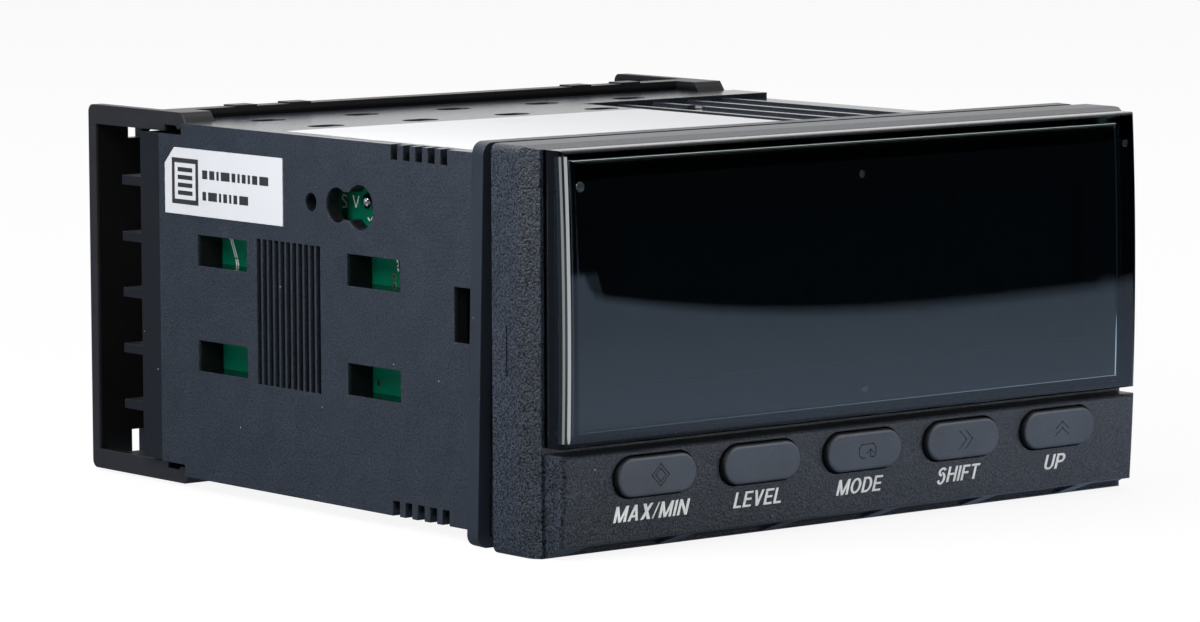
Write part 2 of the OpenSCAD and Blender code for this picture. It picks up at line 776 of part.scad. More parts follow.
module transformer_coil() {
    hole = [core[0] + 2 * coil_gap, core_leg + 2 * coil_gap];
    color([0.85, 0.7, 0.25]) translate(core_at)
        along_y(-core_window[0] / 2 + coil_gap, core_window[0] / 2 - coil_gap) difference() {
            round_rect(core[0] + 2 * coil_t, core_leg + 2 * core_window[1] - 2 * coil_gap, 1.5);
            square(hole, center = true);
        }
}

front_part_y = 0.27 * case_l;                   // the capacitors behind the front

// Electrolytic capacitor standing on the power board, with its crimped ring
module capacitor(d, len, y, z) {
    crimp = 0.5;
    translate([power_x, y, z]) rotate([0, -90, 0]) rotate_extrude() difference() {
        square([d / 2, len]);
        translate([d / 2 + crimp * 0.4, 2.4]) circle(r = crimp);
    }
}

// Diameter and length of each capacitor
large_cap = [12.5, 22];
small_cap = [8, 12];
front_cap = [6.3, 11];
small_cap_rear = 15;                            // from two small ones to the case's rear end

module large_capacitor() {
    color([0.12, 0.13, 0.2])
        capacitor(large_cap[0], large_cap[1], front_part_y, -0.28 * side_board_z);
}

module small_capacitors() {
    color([0.12, 0.13, 0.2]) {
        for (z = [0.67, 0.19])
            capacitor(small_cap[0], small_cap[1], case_l - small_cap_rear, z * side_board_z);
        capacitor(front_cap[0], front_cap[1], front_part_y, side_board_z / 2);
    }
}

relay = [15.5, 13, 10];                         // X, Y and Z of a relay
relay_slot = 0.8;
module relay_at(y, z) {
    color([0.85, 0.85, 0.82]) translate([power_x, y, z]) difference() {
        span([-relay[0], -relay[1] / 2, -relay[2] / 2], [0, relay[1] / 2, relay[2] / 2]);
        // moulded slot across the relay's end
        translate([-relay[0], 2.5 - relay[1] / 2, 0])
            cube([2 * relay_slot, 1.6, relay[2] + 2], center = true);
    }
}

// the rear relay stands clear of the header's pins, the other midway between it and the fuse
relay_1_y = rear_pins_y - seat - relay[1] / 2;
relay_2_y = (fuse_y + fuse_l + relay_1_y - relay[1] / 2) / 2;

module alarm_relay_1() { relay_at(relay_1_y, -0.53 * side_board_z); }
module alarm_relay_2() { relay_at(relay_2_y, -0.69 * side_board_z); }

module line_fuse() {
    color([0.8, 0.78, 0.7]) translate([power_x - fuse_d / 2 - seat, fuse_y, fuse_d * 0.65 - side_board_z])
        rotate([-90, 0, 0]) cylinder(d = fuse_d, h = fuse_l);
}

// Row of pins that joins two boards
pin_pitch = 2.54;
header_pins = 12;
header_body = 2.5;
header_pin = 0.64;

module header(y0, y1) {
    translate([-signal_x, 0, 0]) {
        color([0.05, 0.05, 0.05]) translate([-header_body / 2, (y0 + y1) / 2, 0])
            cube([header_body, header_body, header_pins * pin_pitch], center = true);
        color(steel) for (i = [0 : header_pins - 1])
            translate([-0.5, (y0 + y1) / 2, (i - (header_pins - 1) / 2) * pin_pitch])
                cube([header_pin, y1 - y0, header_pin], center = true);
    }
}

module front_header() { header(board_t + seat - board_y, front_pins_y); }
module rear_header() { header(rear_pins_y, term_board_y[0] - seat); }

module front_right_header() { front_header(); }
module rear_right_header() { rear_header(); }
module front_left_header() { mirror([1, 0, 0]) front_header(); }
module rear_left_header() { mirror([1, 0, 0]) rear_header(); }

// ---------- Terminals ----------

module at_terminals() {
    for (x = column_x, z = term_z) translate([x, block_y, z]) children();
}

// Block for two columns of screw terminals, with a rib between neighbours
module terminal_block() {
    color(black_abs) difference() {
        union() {
            span([block_x[0], case_l + seat, -block_z], [block_x[1], block_y, block_z]);
            span([rear_opening_x[0] + plug_gap, term_board_y[1] + seat, -in_z + plug_gap],
                 [rear_opening_x[1] - plug_gap, case_l + seat + eps, in_z - plug_gap]);
            // ribs between the terminals, and the wall between the two columns
            for (i = [1 : rows - 1])
                span([rib_x[0], block_y - eps, (i - rows / 2) * term_pitch - rib_t / 2],
                     [rib_x[1], block_y + rib_l, (i - rows / 2) * term_pitch + rib_t / 2]);
            span([wall_x - rib_t / 2, block_y - eps, -wall_z],
                 [wall_x + rib_t / 2, block_y + rib_l, wall_z]);
        }
        // bores for the screws and slots for the plates' pins
        at_terminals() {
            rotate([90, 0, 0]) cylinder(d = screw_d + 0.4, h = block_l + 1.5);
            translate([-plate_w / 2, -2 * block_l - 4, -pin_w / 2 - seat])
                cube([tail_t + 2 * seat, 2 * block_l + 5, pin_w + 2 * seat]);
        }
    }
}

module right_terminal_block() { terminal_block(); }
module left_terminal_block() { mirror([1, 0, 0]) terminal_block(); }

module contact_plates() {
    color([0.8, 0.72, 0.45]) both_sides() at_terminals() {
        difference() {
            translate([-plate_w / 2, seat, -plate_w / 2]) cube([plate_w, plate_t, plate_w]);
            rotate([90, 0, 0]) cylinder(d = screw_d + 0.3, h = 4, center = true);
        }
        // pin that runs through the block to the terminal board
        translate([seat - plate_w / 2, term_board_y[1] + seat - block_y, -pin_w / 2])
            cube([tail_t, block_y - term_board_y[1] + eps, pin_w]);
    }
}

module clamp_washers() {
    color(steel) both_sides() at_terminals() difference() {
        translate([-washer_w / 2, 2 * seat + plate_t, -washer_w / 2])
            cube([washer_w, washer_t, washer_w]);
        rotate([90, 0, 0]) cylinder(d = screw_d + 0.3, h = 6, center = true);
    }
}

module terminal_screws() {
    head_y = 3 * seat + plate_t + washer_t;
    head_t = 1.8;
    slot = 0.8;
    color(steel) both_sides() at_terminals() difference() {
        union() {
            translate([0, head_y + head_t, 0]) rotate([90, 0, 0]) cylinder(d = screw_head_d, h = head_t);
            translate([0, head_y + eps, 0]) rotate([90, 0, 0])
                cylinder(d = screw_d, h = head_y + block_l);
        }
        translate([0, head_y + head_t, 0]) {
            cube([screw_head_d * 0.7, 2 * slot, slot], center = true);
            cube([slot, 2 * slot, screw_head_d * 0.7], center = true);
        }
    }
}

// Touch guard over the terminals: open at both sides for the wires
module cover_shell() {
    rear_y = cover_y[1];
    difference() {
        intersection() {
            span([-cover_w / 2, cover_y[0], -cover_h / 2], [cover_w / 2, rear_y, cover_h / 2]);
            // rounded outer corners, seen from the side
            along_x(big) union() {
                translate([cover_y[0], -cover_h / 2])
                    square([rear_y - cover_y[0] - cover_r, cover_h]);
                translate([rear_y - 2 * cover_r, cover_r - cover_h / 2])
                    square([2 * cover_r, cover_h - 2 * cover_r]);
                for (s = [-1, 1])
                    translate([rear_y - cover_r, s * (cover_h / 2 - cover_r)]) circle(r = cover_r);
            }
        }
        span([-big, cover_y[0] - 1, -cover_in_z], [big, rear_y - cover_rear_t, cover_in_z]);
        // lowered top and bottom, inside the rims
        for (s = [0, 1]) mirror([0, 0, s])
            span([lip_w - cover_w / 2, cover_y[0] + lip_l, cover_wall_z],
                 [cover_w / 2 - lip_w, rear_y + 1, cover_h]);
        // screwdriver holes
        both_sides() for (x = column_x, z = term_z) translate([x, rear_y + 1, z])
            rotate([90, 0, 0]) cylinder(d = access_d, h = cover_rear_t + 2);
        // slots in the corners of the rear wall, which run on into the top and bottom
        both_sides() for (s = [0, 1]) mirror([0, 0, s]) {
            span([corner_x[0], rear_y - cover_rear_t - 1, corner_z],
                 [corner_x[1], rear_y + 1, cover_h]);
            span([corner_x[0], rear_y - cover_rear_t - corner_l, cover_in_z - 1],
                 [cover_w / 2 - lip_w, rear_y - cover_rear_t, cover_h]);
        }
        // middle of the rear wall
        along_y(rear_y - cover_rear_t - 1, rear_y + 1)
            round_rect(cover_middle[0], cover_middle[1], 1.5);
    }
}

module terminal_cover() {
    under_z = case_h / 2 - hook_drop;
    color(cover_grey) {
        cover_shell();
        // hooks that snap into the case
        both_sides() for (s = [0, 1]) mirror([0, 0, s])
            translate([(hook_x[0] + hook_x[1]) / 2, 0, 0]) along_x(hook_x[1] - hook_x[0]) polygon([
                [cover_y[0] + 1, cover_in_z], [cover_y[0] + 1, cover_h / 2], [hook_y, cover_h / 2],
                [hook_y - hook_nose, under_z], [hook_y + 0.8, under_z - hook_barb],
                [hook_y + 1.2, under_z], [cover_y[0], under_z], [cover_y[0], cover_in_z]]);
        // grip ribs on the front rims
        both_sides() for (s = [0, 1], x = grip_x) mirror([0, 0, s])
            span([x, cover_y[0], cover_h / 2 - 1],
                 [x + grip_w, cover_y[0] + lip_l, cover_h / 2 + grip_t]);
    }
}

// ---------- Labels ----------

label_t = 0.12;
top_label_at = [1.9 - case_w / 2, 4.6];         // front left corner of the top label
top_label_w = relief_x[0] - 1.3 - top_label_at[0];
side_label_end = case_l - 1.5;                  // rear end of the side label
side_label_top = 7.25;                          // from the case's top to the label's middle
side_label_z = case_h / 2 - side_label_top;
label_cut = 2.1;                                // cut corner of the side label

module top_label() {
    color([0.95, 0.95, 0.95]) translate([top_label_at[0], top_label_at[1], case_h / 2])
        cube([top_label_w, top_label_l, label_t]);
}

module side_label() {
    half = side_label_h / 2;
    color([0.93, 0.94, 0.96]) translate([-case_w / 2 - label_t, side_label_end, side_label_z])
        rotate([90, 0, 90]) linear_extrude(height = label_t) polygon([
            [0, -half], [0, half - label_cut], [-label_cut, half],
            [-side_label_l, half], [-side_label_l, -half]]);
}

front_bezel();
display_window();
display_mask();
lcd_panel();
light_guide();
front_board();
max_min_key();
level_key();
mode_key();
shift_key();
up_key();
key_switches();
panel_gasket();
rear_case();
signal_board();
power_board();
terminal_board();
processor_chip();
converter_chip();
transformer_core();
transformer_coil();
large_capacitor();
small_capacitors();
alarm_relay_1();
alarm_relay_2();
line_fuse();
front_left_header();
front_right_header();
rear_left_header();
rear_right_header();
left_terminal_block();
right_terminal_block();
contact_plates();
clamp_washers();
terminal_screws();
terminal_cover();
top_label();
side_label();
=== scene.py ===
"""Digital panel meter: materials, smoked window, legends, label print, board details and stage.

Sizes are in metres. X runs to the right seen from the front, Y rearwards and Z up.
"""

import json
import math
import random

import bmesh
import bpy
from mathutils import Matrix, Vector

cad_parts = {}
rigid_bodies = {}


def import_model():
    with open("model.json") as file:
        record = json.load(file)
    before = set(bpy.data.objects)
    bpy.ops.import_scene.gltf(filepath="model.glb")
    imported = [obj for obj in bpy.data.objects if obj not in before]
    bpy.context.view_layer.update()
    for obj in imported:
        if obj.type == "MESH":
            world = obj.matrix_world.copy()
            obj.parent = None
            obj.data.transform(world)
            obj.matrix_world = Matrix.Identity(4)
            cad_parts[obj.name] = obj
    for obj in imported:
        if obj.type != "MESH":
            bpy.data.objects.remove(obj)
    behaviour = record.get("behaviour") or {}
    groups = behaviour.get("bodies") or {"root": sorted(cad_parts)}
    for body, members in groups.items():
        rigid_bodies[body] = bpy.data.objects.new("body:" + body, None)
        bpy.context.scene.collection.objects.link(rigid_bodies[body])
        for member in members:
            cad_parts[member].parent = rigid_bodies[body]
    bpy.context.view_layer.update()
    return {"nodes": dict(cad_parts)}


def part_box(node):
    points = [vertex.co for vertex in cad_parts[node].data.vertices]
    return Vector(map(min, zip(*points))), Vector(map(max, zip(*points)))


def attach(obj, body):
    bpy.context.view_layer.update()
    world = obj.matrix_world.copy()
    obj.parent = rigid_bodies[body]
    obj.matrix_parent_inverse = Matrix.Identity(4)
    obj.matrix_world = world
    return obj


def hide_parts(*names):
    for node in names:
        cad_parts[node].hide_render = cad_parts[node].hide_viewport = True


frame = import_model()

bl_info = {
    "name": "Panel Meter Looks",
    "version": (1, 0, 0),
    "blender": (4, 5, 0),
    "location": "3D View > Sidebar > Panel Meter",
    "description": "Dresses the panel meter with its finishes, window, legends and labels",
    "category": "Object",
}

MM = 0.001
HOUSING = "housing"
KEYS = ("max_min", "level", "mode", "shift", "up")

WINDOW_LOW, WINDOW_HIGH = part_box("display_window")
BEZEL_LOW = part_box("front_bezel")[0]
CASE_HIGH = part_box("rear_case")[1]
COVER_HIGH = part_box("terminal_cover")[1]
KEY_BOXES = {key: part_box(key + "_key") for key in KEYS}

# each key's word, how wide it is and how far its middle lies right of the key's middle
WORDS = {
    "max_min": ("MAX/MIN", 11.65 * MM, -0.15 * MM),
    "level": ("LEVEL", 7.5 * MM, -0.1 * MM),
    "mode": ("MODE", 7.57 * MM, 0.0),
    "shift": ("SHIFT", 7.14 * MM, 0.05 * MM),
    "up": ("UP", 3.6 * MM, 0.1 * MM),
}
LETTER_GAP = 0.11       # between letters, with the height of the capitals as 1
STEM = 0.18             # width of an upright stroke
BAR = 0.145             # height of a level stroke

# lines of the key icons in millimetres round the icon's middle, and whether each is closed
DIAMOND = [(-1.3, 0), (0, -1.3), (1.3, 0), (0, 1.3)]
RIGHTWARD = [(-0.6, -1.1), (0.5, 0), (-0.6, 1.1)]
UPWARD = [(-1.1, -0.45), (0, 0.4), (1.1, -0.45)]
LOOP = [
    (-0.35, -0.85),
    (-0.95, -0.85),
    (-1.35, -0.5),
    (-1.35, 0.35),
    (-0.95, 0.8),
    (0.9, 0.8),
    (1.3, 0.35),
    (1.3, -0.4),
    (0.95, -0.8),
    (0.45, -0.75),
    (0.45, 0.1),
]
LOOP_HEAD = [(-0.05, -0.3), (0.45, 0.15), (0.95, -0.3)]
ICONS = {
    "max_min": [(DIAMOND, True), ([(u * 0.6, v * 0.6) for u, v in DIAMOND], True)],
    "mode": [(LOOP, False), (LOOP_HEAD, False)],
    "shift": [([(u + shift, v) for u, v in RIGHTWARD], False) for shift in (-0.5, 0.5)],
    "up": [([(u, v + shift) for u, v in UPWARD], False) for shift in (-0.4, 0.4)],
}

# marks on the signal board in millimetres, as distances behind the panel and above the middle
BOARD_LINES = (
    [(37.0, 15.0), (37.7, 15.2), (37.9, 14.7), (37.1, 14.2), (37.0, 13.7), (37.8, 13.6)],
    [(35.6, 15.1), (35.05, 13.7), (34.5, 15.1)],
    [(31.6, 12.9), (32.1, 12.2), (32.6, 12.6)],
    [(61.9, 8.2), (60.7, 5.6), (60.3, 4.2)],
    [(61.5, 8.2), (60.3, 5.6), (59.9, 4.2)],
    [(26.8, 7.9), (26.4, 7.5), (26.8, 7.1), (26.5, 6.7)],
    [(28.4, -8.8), (27.7, -8.8)],
    [(27.3, -8.8), (26.7, -8.8)],
)
PLATED_HOLES = ((27.35, 5.9), (27.35, 4.85), (30.7, -7.4), (30.7, -9.0), (56.5, -6.0))
SOLDER_JOINTS = ((32.5, 14.7, 0.9, 0.8), (57.5, -8.0, 0.4, 0.3))    # place, radius and height

# clear pips on the window in millimetres: X, Z, radius and height
WINDOW_PIPS = (
    (-43.2, 19.35, 0.6, 0.2),
    (0.0, 18.45, 0.45, 0.02),
    (43.9, 19.8, 0.45, 0.05),
    (0.3, -7.5, 0.45, 0.02),
)


# ---------- Properties ----------


class MouldingColours(bpy.types.PropertyGroup):
    """Colours of the mouldings, keys, rubber and boards"""

    case: bpy.props.FloatVectorProperty(
        name="Case",
        description="Colour of the case",
        default=(0.0142, 0.0192, 0.028),
        subtype="COLOR",
    )
    bezel: bpy.props.FloatVectorProperty(
        name="Bezel",
        description="Colour of the bezel",
        default=(0.015, 0.0195, 0.0285),
        subtype="COLOR",
    )
    cover: bpy.props.FloatVectorProperty(
        name="Terminal Cover",
        description="Colour of the cover over the terminals",
        default=(0.0145, 0.0138, 0.0158),
        subtype="COLOR",
    )
    keys: bpy.props.FloatVectorProperty(
        name="Keys",
        description="Colour of the five keys",
        default=(0.037, 0.046, 0.062),
        subtype="COLOR",
    )
    rubber: bpy.props.FloatVectorProperty(
        name="Gasket",
        description="Colour of the rubber gasket",
        default=(0.0145, 0.0185, 0.027),
        subtype="COLOR",
    )
    board: bpy.props.FloatVectorProperty(
        name="Boards",
        description="Colour of the solder mask on the circuit boards",
        default=(0.0, 0.1, 0.055),
        subtype="COLOR",
    )
    grain: bpy.props.FloatProperty(
        name="Grain Depth",
        description="Depth of the fine texture moulded into the case and the bezel",
        default=0.05 * MM,
        min=0.0,
        max=0.1 * MM,
        precision=6,
        unit="LENGTH",
    )


class WindowShape(bpy.types.PropertyGroup):
    """Form and tint of the smoked window"""

    curve_radius: bpy.props.FloatProperty(
        name="Curve Radius",
        description="Radius of the window's curve from top to bottom",
        default=355 * MM,
        unit="LENGTH",
    )
    crown_height: bpy.props.FloatProperty(
        name="Crown Height",
        description="Height of the curve's foremost line above the middle",
        default=1.9 * MM,
        unit="LENGTH",
    )
    side_radius: bpy.props.FloatProperty(
        name="Side Radius",
        description="Radius of the upright edges",
        default=1.0 * MM,
        unit="LENGTH",
    )
    top_radius: bpy.props.FloatProperty(
        name="Top Radius",
        description="Radius of the top and bottom edges",
        default=0.7 * MM,
        unit="LENGTH",
    )
    tint: bpy.props.FloatVectorProperty(
        name="Tint",
        description="Colour that the smoked plastic lets through",
        default=(0.42, 0.5, 0.5),
        subtype="COLOR",
    )


class LegendPrint(bpy.types.PropertyGroup):
    """Words printed under the keys"""

    cap_height: bpy.props.FloatProperty(
        name="Cap Height",
        description="Height of the capitals",
        default=1.9 * MM,
        unit="LENGTH",
    )
    slant: bpy.props.FloatProperty(
        name="Slant",
        description="Lean of the letters",
        default=math.radians(12.0),
        subtype="ANGLE",
    )
    middle: bpy.props.FloatProperty(
        name="Middle",
        description="Height of the words' middle line in the front",
        default=-19.3 * MM,
        unit="LENGTH",
    )
    ink: bpy.props.FloatVectorProperty(
        name="Ink",
        description="Colour of the printed words",
        default=(0.64, 0.65, 0.66),
        subtype="COLOR",
    )


class StageSetup(bpy.types.PropertyGroup):
    """Camera, lamps and floor"""

    azimuth: bpy.props.FloatProperty(
        name="Azimuth",
        description="Camera's turn round the meter from straight in front",
        default=math.radians(-38.811),
        subtype="ANGLE",
    )
    elevation: bpy.props.FloatProperty(
        name="Elevation",
        description="Camera's height above the horizon",
        default=math.radians(6.308),
        subtype="ANGLE",
    )
    roll: bpy.props.FloatProperty(
        name="Roll",
        description="Camera's turn about its own line of sight",
        default=math.radians(-0.211),
        subtype="ANGLE",
    )
    distance: bpy.props.FloatProperty(
        name="Distance",
        description="Distance from the camera to its target",
        default=684.448 * MM,
        unit="LENGTH",
    )
    lens: bpy.props.FloatProperty(
        name="Focal Length",
        description="Focal length of the lens on a 36 mm wide sensor, in millimetres",
        default=162.927,
    )
    floor_tone: bpy.props.FloatVectorProperty(
        name="Floor",
        description="Colour of the floor",
        default=(0.93, 0.93, 0.93),
        subtype="COLOR",
    )


SETTINGS = {
    "meter_colours": MouldingColours,
    "meter_window": WindowShape,
    "meter_legends": LegendPrint,
    "meter_stage": StageSetup,
}


# ---------- Mesh helpers ----------


def link_mesh(name, vertices, faces, material, body=HOUSING, smooth=None):
    """A mesh piece in the row frame, with its material, that rides on a body"""
    mesh = bpy.data.meshes.new(name)
    mesh.from_pydata([tuple(v) for v in vertices], [], [tuple(f) for f in faces])
    mesh.validate()
    piece = bpy.data.objects.new(name, mesh)
    bpy.context.scene.collection.objects.link(piece)
    mesh.materials.append(material)
    bm = bmesh.new()
    bm.from_mesh(mesh)
    bmesh.ops.recalc_face_normals(bm, faces=bm.faces)
    if smooth is not None:
        for face in bm.faces:
            face.smooth = True
        for edge in bm.edges:
            if len(edge.link_faces) == 2 and edge.calc_face_angle(0) > smooth:
                edge.smooth = False
    bm.to_mesh(mesh)
    bm.free()
    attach(piece, body)
    return piece


def slab(points, low, high, place):
    """Vertices and faces of a flat outline given thickness

    place maps (across, up, out) to the row frame.
    """
    count = len(points)
    vertices = [place(u, v, low) for u, v in points] + [place(u, v, high) for u, v in points]
    faces = [list(range(count))[::-1], list(range(count, 2 * count))]
    for i in range(count):
        j = (i + 1) % count
        faces.append([i, j, count + j, count + i])
    return vertices, faces


def join_parts(parts):
    """One list of vertices and one of faces from several"""
    vertices, faces = [], []
    for part_vertices, part_faces in parts:
        base = len(vertices)
        vertices += part_vertices
        faces += [[base + i for i in face] for face in part_faces]
    return vertices, faces


def box_outline(u0, v0, u1, v1):
    """Corners of a rectangle from its lower left and upper right corners"""
    return [(u0, v0), (u1, v0), (u1, v1), (u0, v1)]


def disc_outline(u, v, radius, steps=20):
    """Points round a circle"""
    turns = [2 * math.pi / steps * i for i in range(steps)]
    return [(u + radius * math.cos(turn), v + radius * math.sin(turn)) for turn in turns]


def stroke_outlines(points, width, closed=False):
    """Quads along a line of points, one for each stretch, with squared ends"""
    outlines = []
    ends = points[1:] + points[:1] if closed else points[1:]
    for (u0, v0), (u1, v1) in zip(points, ends):
        length = math.hypot(u1 - u0, v1 - v0)
        du, dv = (u1 - u0) / length, (v1 - v0) / length
        ru, rv = -dv * width / 2, du * width / 2
        eu, ev = du * width / 2, dv * width / 2
        outlines.append(
            [
                (u0 - eu + ru, v0 - ev + rv),
                (u0 - eu - ru, v0 - ev - rv),
                (u1 + eu - ru, v1 + ev - rv),
                (u1 + eu + ru, v1 + ev + rv),
            ]
        )
    return outlines


def dome(place, radius, rise, stretch=1.0, steps=20, levels=6):
    """Vertices and faces of a low round cap, stretched upwards

    place maps (across, up, out) to the row frame.
    """
    vertices, faces = [], []
    for level in range(levels):
        turn = math.pi / 2 * level / levels
        reach = radius * math.cos(turn)
        for i in range(steps):
            a = 2 * math.pi * i / steps
            vertices.append(
                place(reach * math.cos(a), stretch * reach * math.sin(a), rise * math.sin(turn))
            )
    vertices.append(place(0, 0, rise))
    for level in range(levels - 1):
        for i in range(steps):
            a, b = level * steps + i, level * steps + (i + 1) % steps
            faces.append([a, b, b + steps, a + steps])
    top = (levels - 1) * steps
    for i in range(steps):
        faces.append([top + i, top + (i + 1) % steps, levels * steps])
    faces.append(list(range(steps)))
    return vertices, faces


# ---------- Node helpers ----------

PER_MM = 1.0 / MM       # scale at which a texture's cells are one millimetre wide


def add(tree, kind, **values):
    """A new node; values are its properties, or else its inputs' defaults"""
    node = tree.nodes.new(kind)
    for key, value in values.items():
        if key in node.bl_rna.properties:
            setattr(node, key, value)
        else:
            node.inputs[key.replace("_", " ")].default_value = value
    return node


def maths(tree, operation, first, second=None):
    """Output of a math node whose inputs are numbers or sockets"""
    node = tree.nodes.new("ShaderNodeMath")
    node.operation = operation
    for socket, value in zip(node.inputs, (first, second)):
        if value is None:
            continue
        if isinstance(value, (int, float)):
            socket.default_value = value
        else:
            tree.links.new(value, socket)
    return node.outputs[0]


def remap(tree, value, low, high, to_low, to_high):
    """Output of a clamped map range node whose limits are numbers or sockets"""
    node = tree.nodes.new("ShaderNodeMapRange")
    tree.links.new(value, node.inputs["Value"])
    for name, number in (
        ("From Min", low),
        ("From Max", high),
        ("To Min", to_low),
        ("To Max", to_high),
    ):
        if isinstance(number, (int, float)):
            node.inputs[name].default_value = number
        else:
            tree.links.new(number, node.inputs[name])
    return node.outputs["Result"]


def new_group(name, inputs, outputs):
    """An empty shader group with named sockets: its tree, its input node and its output node"""
    tree = bpy.data.node_groups.new(name, "ShaderNodeTree")
    number = "NodeSocketFloat"
    for label, default, low, high in inputs:
        socket = tree.interface.new_socket(name=label, in_out="INPUT", socket_type=number)
        socket.default_value = default
        socket.min_value = low
        socket.max_value = high
    for label in outputs:
        tree.interface.new_socket(name=label, in_out="OUTPUT", socket_type=number)
    return tree, tree.nodes.new("NodeGroupInput"), tree.nodes.new("NodeGroupOutput")


def mould_grain_group():
    """Spark-eroded mould texture: fine pits in the height, and a slow change of shade"""
    tree, given, out = new_group(
        "Mould Grain",
        [("Grain Size", 0.25, 0.01, 10.0), ("Mottle Size", 6.0, 0.1, 100.0)],
        ["Height", "Mottle"],
    )
    place = add(tree, "ShaderNodeTexCoord").outputs["Object"]
    fine = add(tree, "ShaderNodeTexNoise", Detail=2.0, Roughness=0.6)
    slow = add(tree, "ShaderNodeTexNoise", Detail=3.0, Roughness=0.55)
    for noise, size in ((fine, "Grain Size"), (slow, "Mottle Size")):
        tree.links.new(place, noise.inputs["Vector"])
        scale = maths(tree, "DIVIDE", PER_MM, given.outputs[size])
        tree.links.new(scale, noise.inputs["Scale"])
    tree.links.new(remap(tree, fine.outputs["Fac"], 0.35, 0.65, 0.0, 1.0), out.inputs["Height"])
    tree.links.new(remap(tree, slow.outputs["Fac"], 0.3, 0.7, 0.0, 1.0), out.inputs["Mottle"])
    return tree


def dust_group():
    """Sparse small specks of dust"""
    tree, given, out = new_group(
        "Dust Specks",
        [
            ("Spacing", 4.0, 0.1, 100.0),
            ("Speck Size", 0.12, 0.01, 5.0),
            ("Share", 0.3, 0.0, 1.0),
        ],
        ["Mask"],
    )
    place = add(tree, "ShaderNodeTexCoord").outputs["Object"]
    cells = add(tree, "ShaderNodeTexVoronoi", Randomness=1.0)
    tree.links.new(place, cells.inputs["Vector"])
    scale = maths(tree, "DIVIDE", PER_MM, given.outputs["Spacing"])
    tree.links.new(scale, cells.inputs["Scale"])
    radius = maths(tree, "DIVIDE", given.outputs["Speck Size"], given.outputs["Spacing"])
    near = maths(tree, "LESS_THAN", cells.outputs["Distance"], radius)
    split = add(tree, "ShaderNodeSeparateColor")
    tree.links.new(cells.outputs["Color"], split.inputs[0])
    chosen = maths(tree, "LESS_THAN", split.outputs[0], given.outputs["Share"])
    tree.links.new(maths(tree, "MULTIPLY", near, chosen), out.inputs["Mask"])
    return tree


def wear_group():
    """Handling marks: a soft cloudy change from clean to rubbed"""
    tree, given, out = new_group(
        "Rubbed Patches",
        [("Patch Size", 12.0, 0.1, 200.0), ("Clean", 0.4, 0.0, 1.0), ("Rubbed", 0.6, 0.0, 1.0)],
        ["Value"],
    )
    place = add(tree, "ShaderNodeTexCoord").outputs["Object"]
    cloud = add(tree, "ShaderNodeTexNoise", Detail=4.0, Roughness=0.6)
    tree.links.new(place, cloud.inputs["Vector"])
    scale = maths(tree, "DIVIDE", PER_MM, given.outputs["Patch Size"])
    tree.links.new(scale, cloud.inputs["Scale"])
    result = remap(
        tree, cloud.outputs["Fac"], 0.3, 0.7, given.outputs["Clean"], given.outputs["Rubbed"]
    )
    tree.links.new(result, out.inputs["Value"])
    return tree


GROUP_MAKERS = {
    "Mould Grain": mould_grain_group,
    "Dust Specks": dust_group,
    "Rubbed Patches": wear_group,
}


def use_group(tree, name, **values):
    """A node of a shared shader group, which is built on its first use"""
    node = tree.nodes.new("ShaderNodeGroup")
    node.node_tree = bpy.data.node_groups.get(name) or GROUP_MAKERS[name]()
    for key, value in values.items():
        node.inputs[key.replace("_", " ")].default_value = value
    return node


def surface(name, **values):
    """A material with one Principled shader, its plain values set on the shader's own sockets"""
    material = bpy.data.materials.new(name)
    material.use_nodes = True
    shader = material.node_tree.nodes["Principled BSDF"]
    for key, value in values.items():
        shader.inputs[key.replace("_", " ")].default_value = value
    return material, material.node_tree, shader


def colour4(colour):
    """A colour with full opacity"""
    return (colour[0], colour[1], colour[2], 1.0)


def blend_colours(tree, factor, low, high):
    """Colour that runs from low to high with a factor"""
    mix = add(tree, "ShaderNodeMix", data_type="RGBA")
    first, second, blended = mix.inputs[6], mix.inputs[7], mix.outputs[2]
    tree.links.new(factor, mix.inputs[0])
    for socket, colour in ((first, low), (second, high)):
        if isinstance(colour, tuple):
            socket.default_value = colour4(colour)
        else:
            tree.links.new(colour, socket)
    return blended


def separate(tree, node, output):
    """Node with the X, Y and Z of a vector that an input node gives"""
    split = add(tree, "ShaderNodeSeparateXYZ")
    tree.links.new(add(tree, node).outputs[output], split.inputs[0])
    return split


def painted_inner_shade(tree, half_width, half_height, rear):
    """1 on a housing's outer faces and low on the faces inside its walls, ahead of its rear face"""
    # painted shade: the faces inside the walls are darkened in the colour, where shade falls
    painted_shade_share = 0.12
    side_skin, top_skin, blur = 0.5 * MM, 1.0 * MM, 0.3 * MM
    rear_skin, rear_blur = 1.2 * MM, 0.4 * MM
    place = separate(tree, "ShaderNodeNewGeometry", "Position")
    edge = rear - rear_skin
    outside = remap(tree, place.outputs["Y"], edge, edge + rear_blur, 0.0, 1.0)
    for axis, half, skin in (("X", half_width, side_skin), ("Z", half_height, top_skin)):
        reach = maths(tree, "ABSOLUTE", place.outputs[axis])
        near = remap(tree, reach, half - skin, half - skin + blur, 0.0, 1.0)
        outside = maths(tree, "MAXIMUM", outside, near)
    return remap(tree, outside, 0.0, 1.0, painted_shade_share, 1.0)


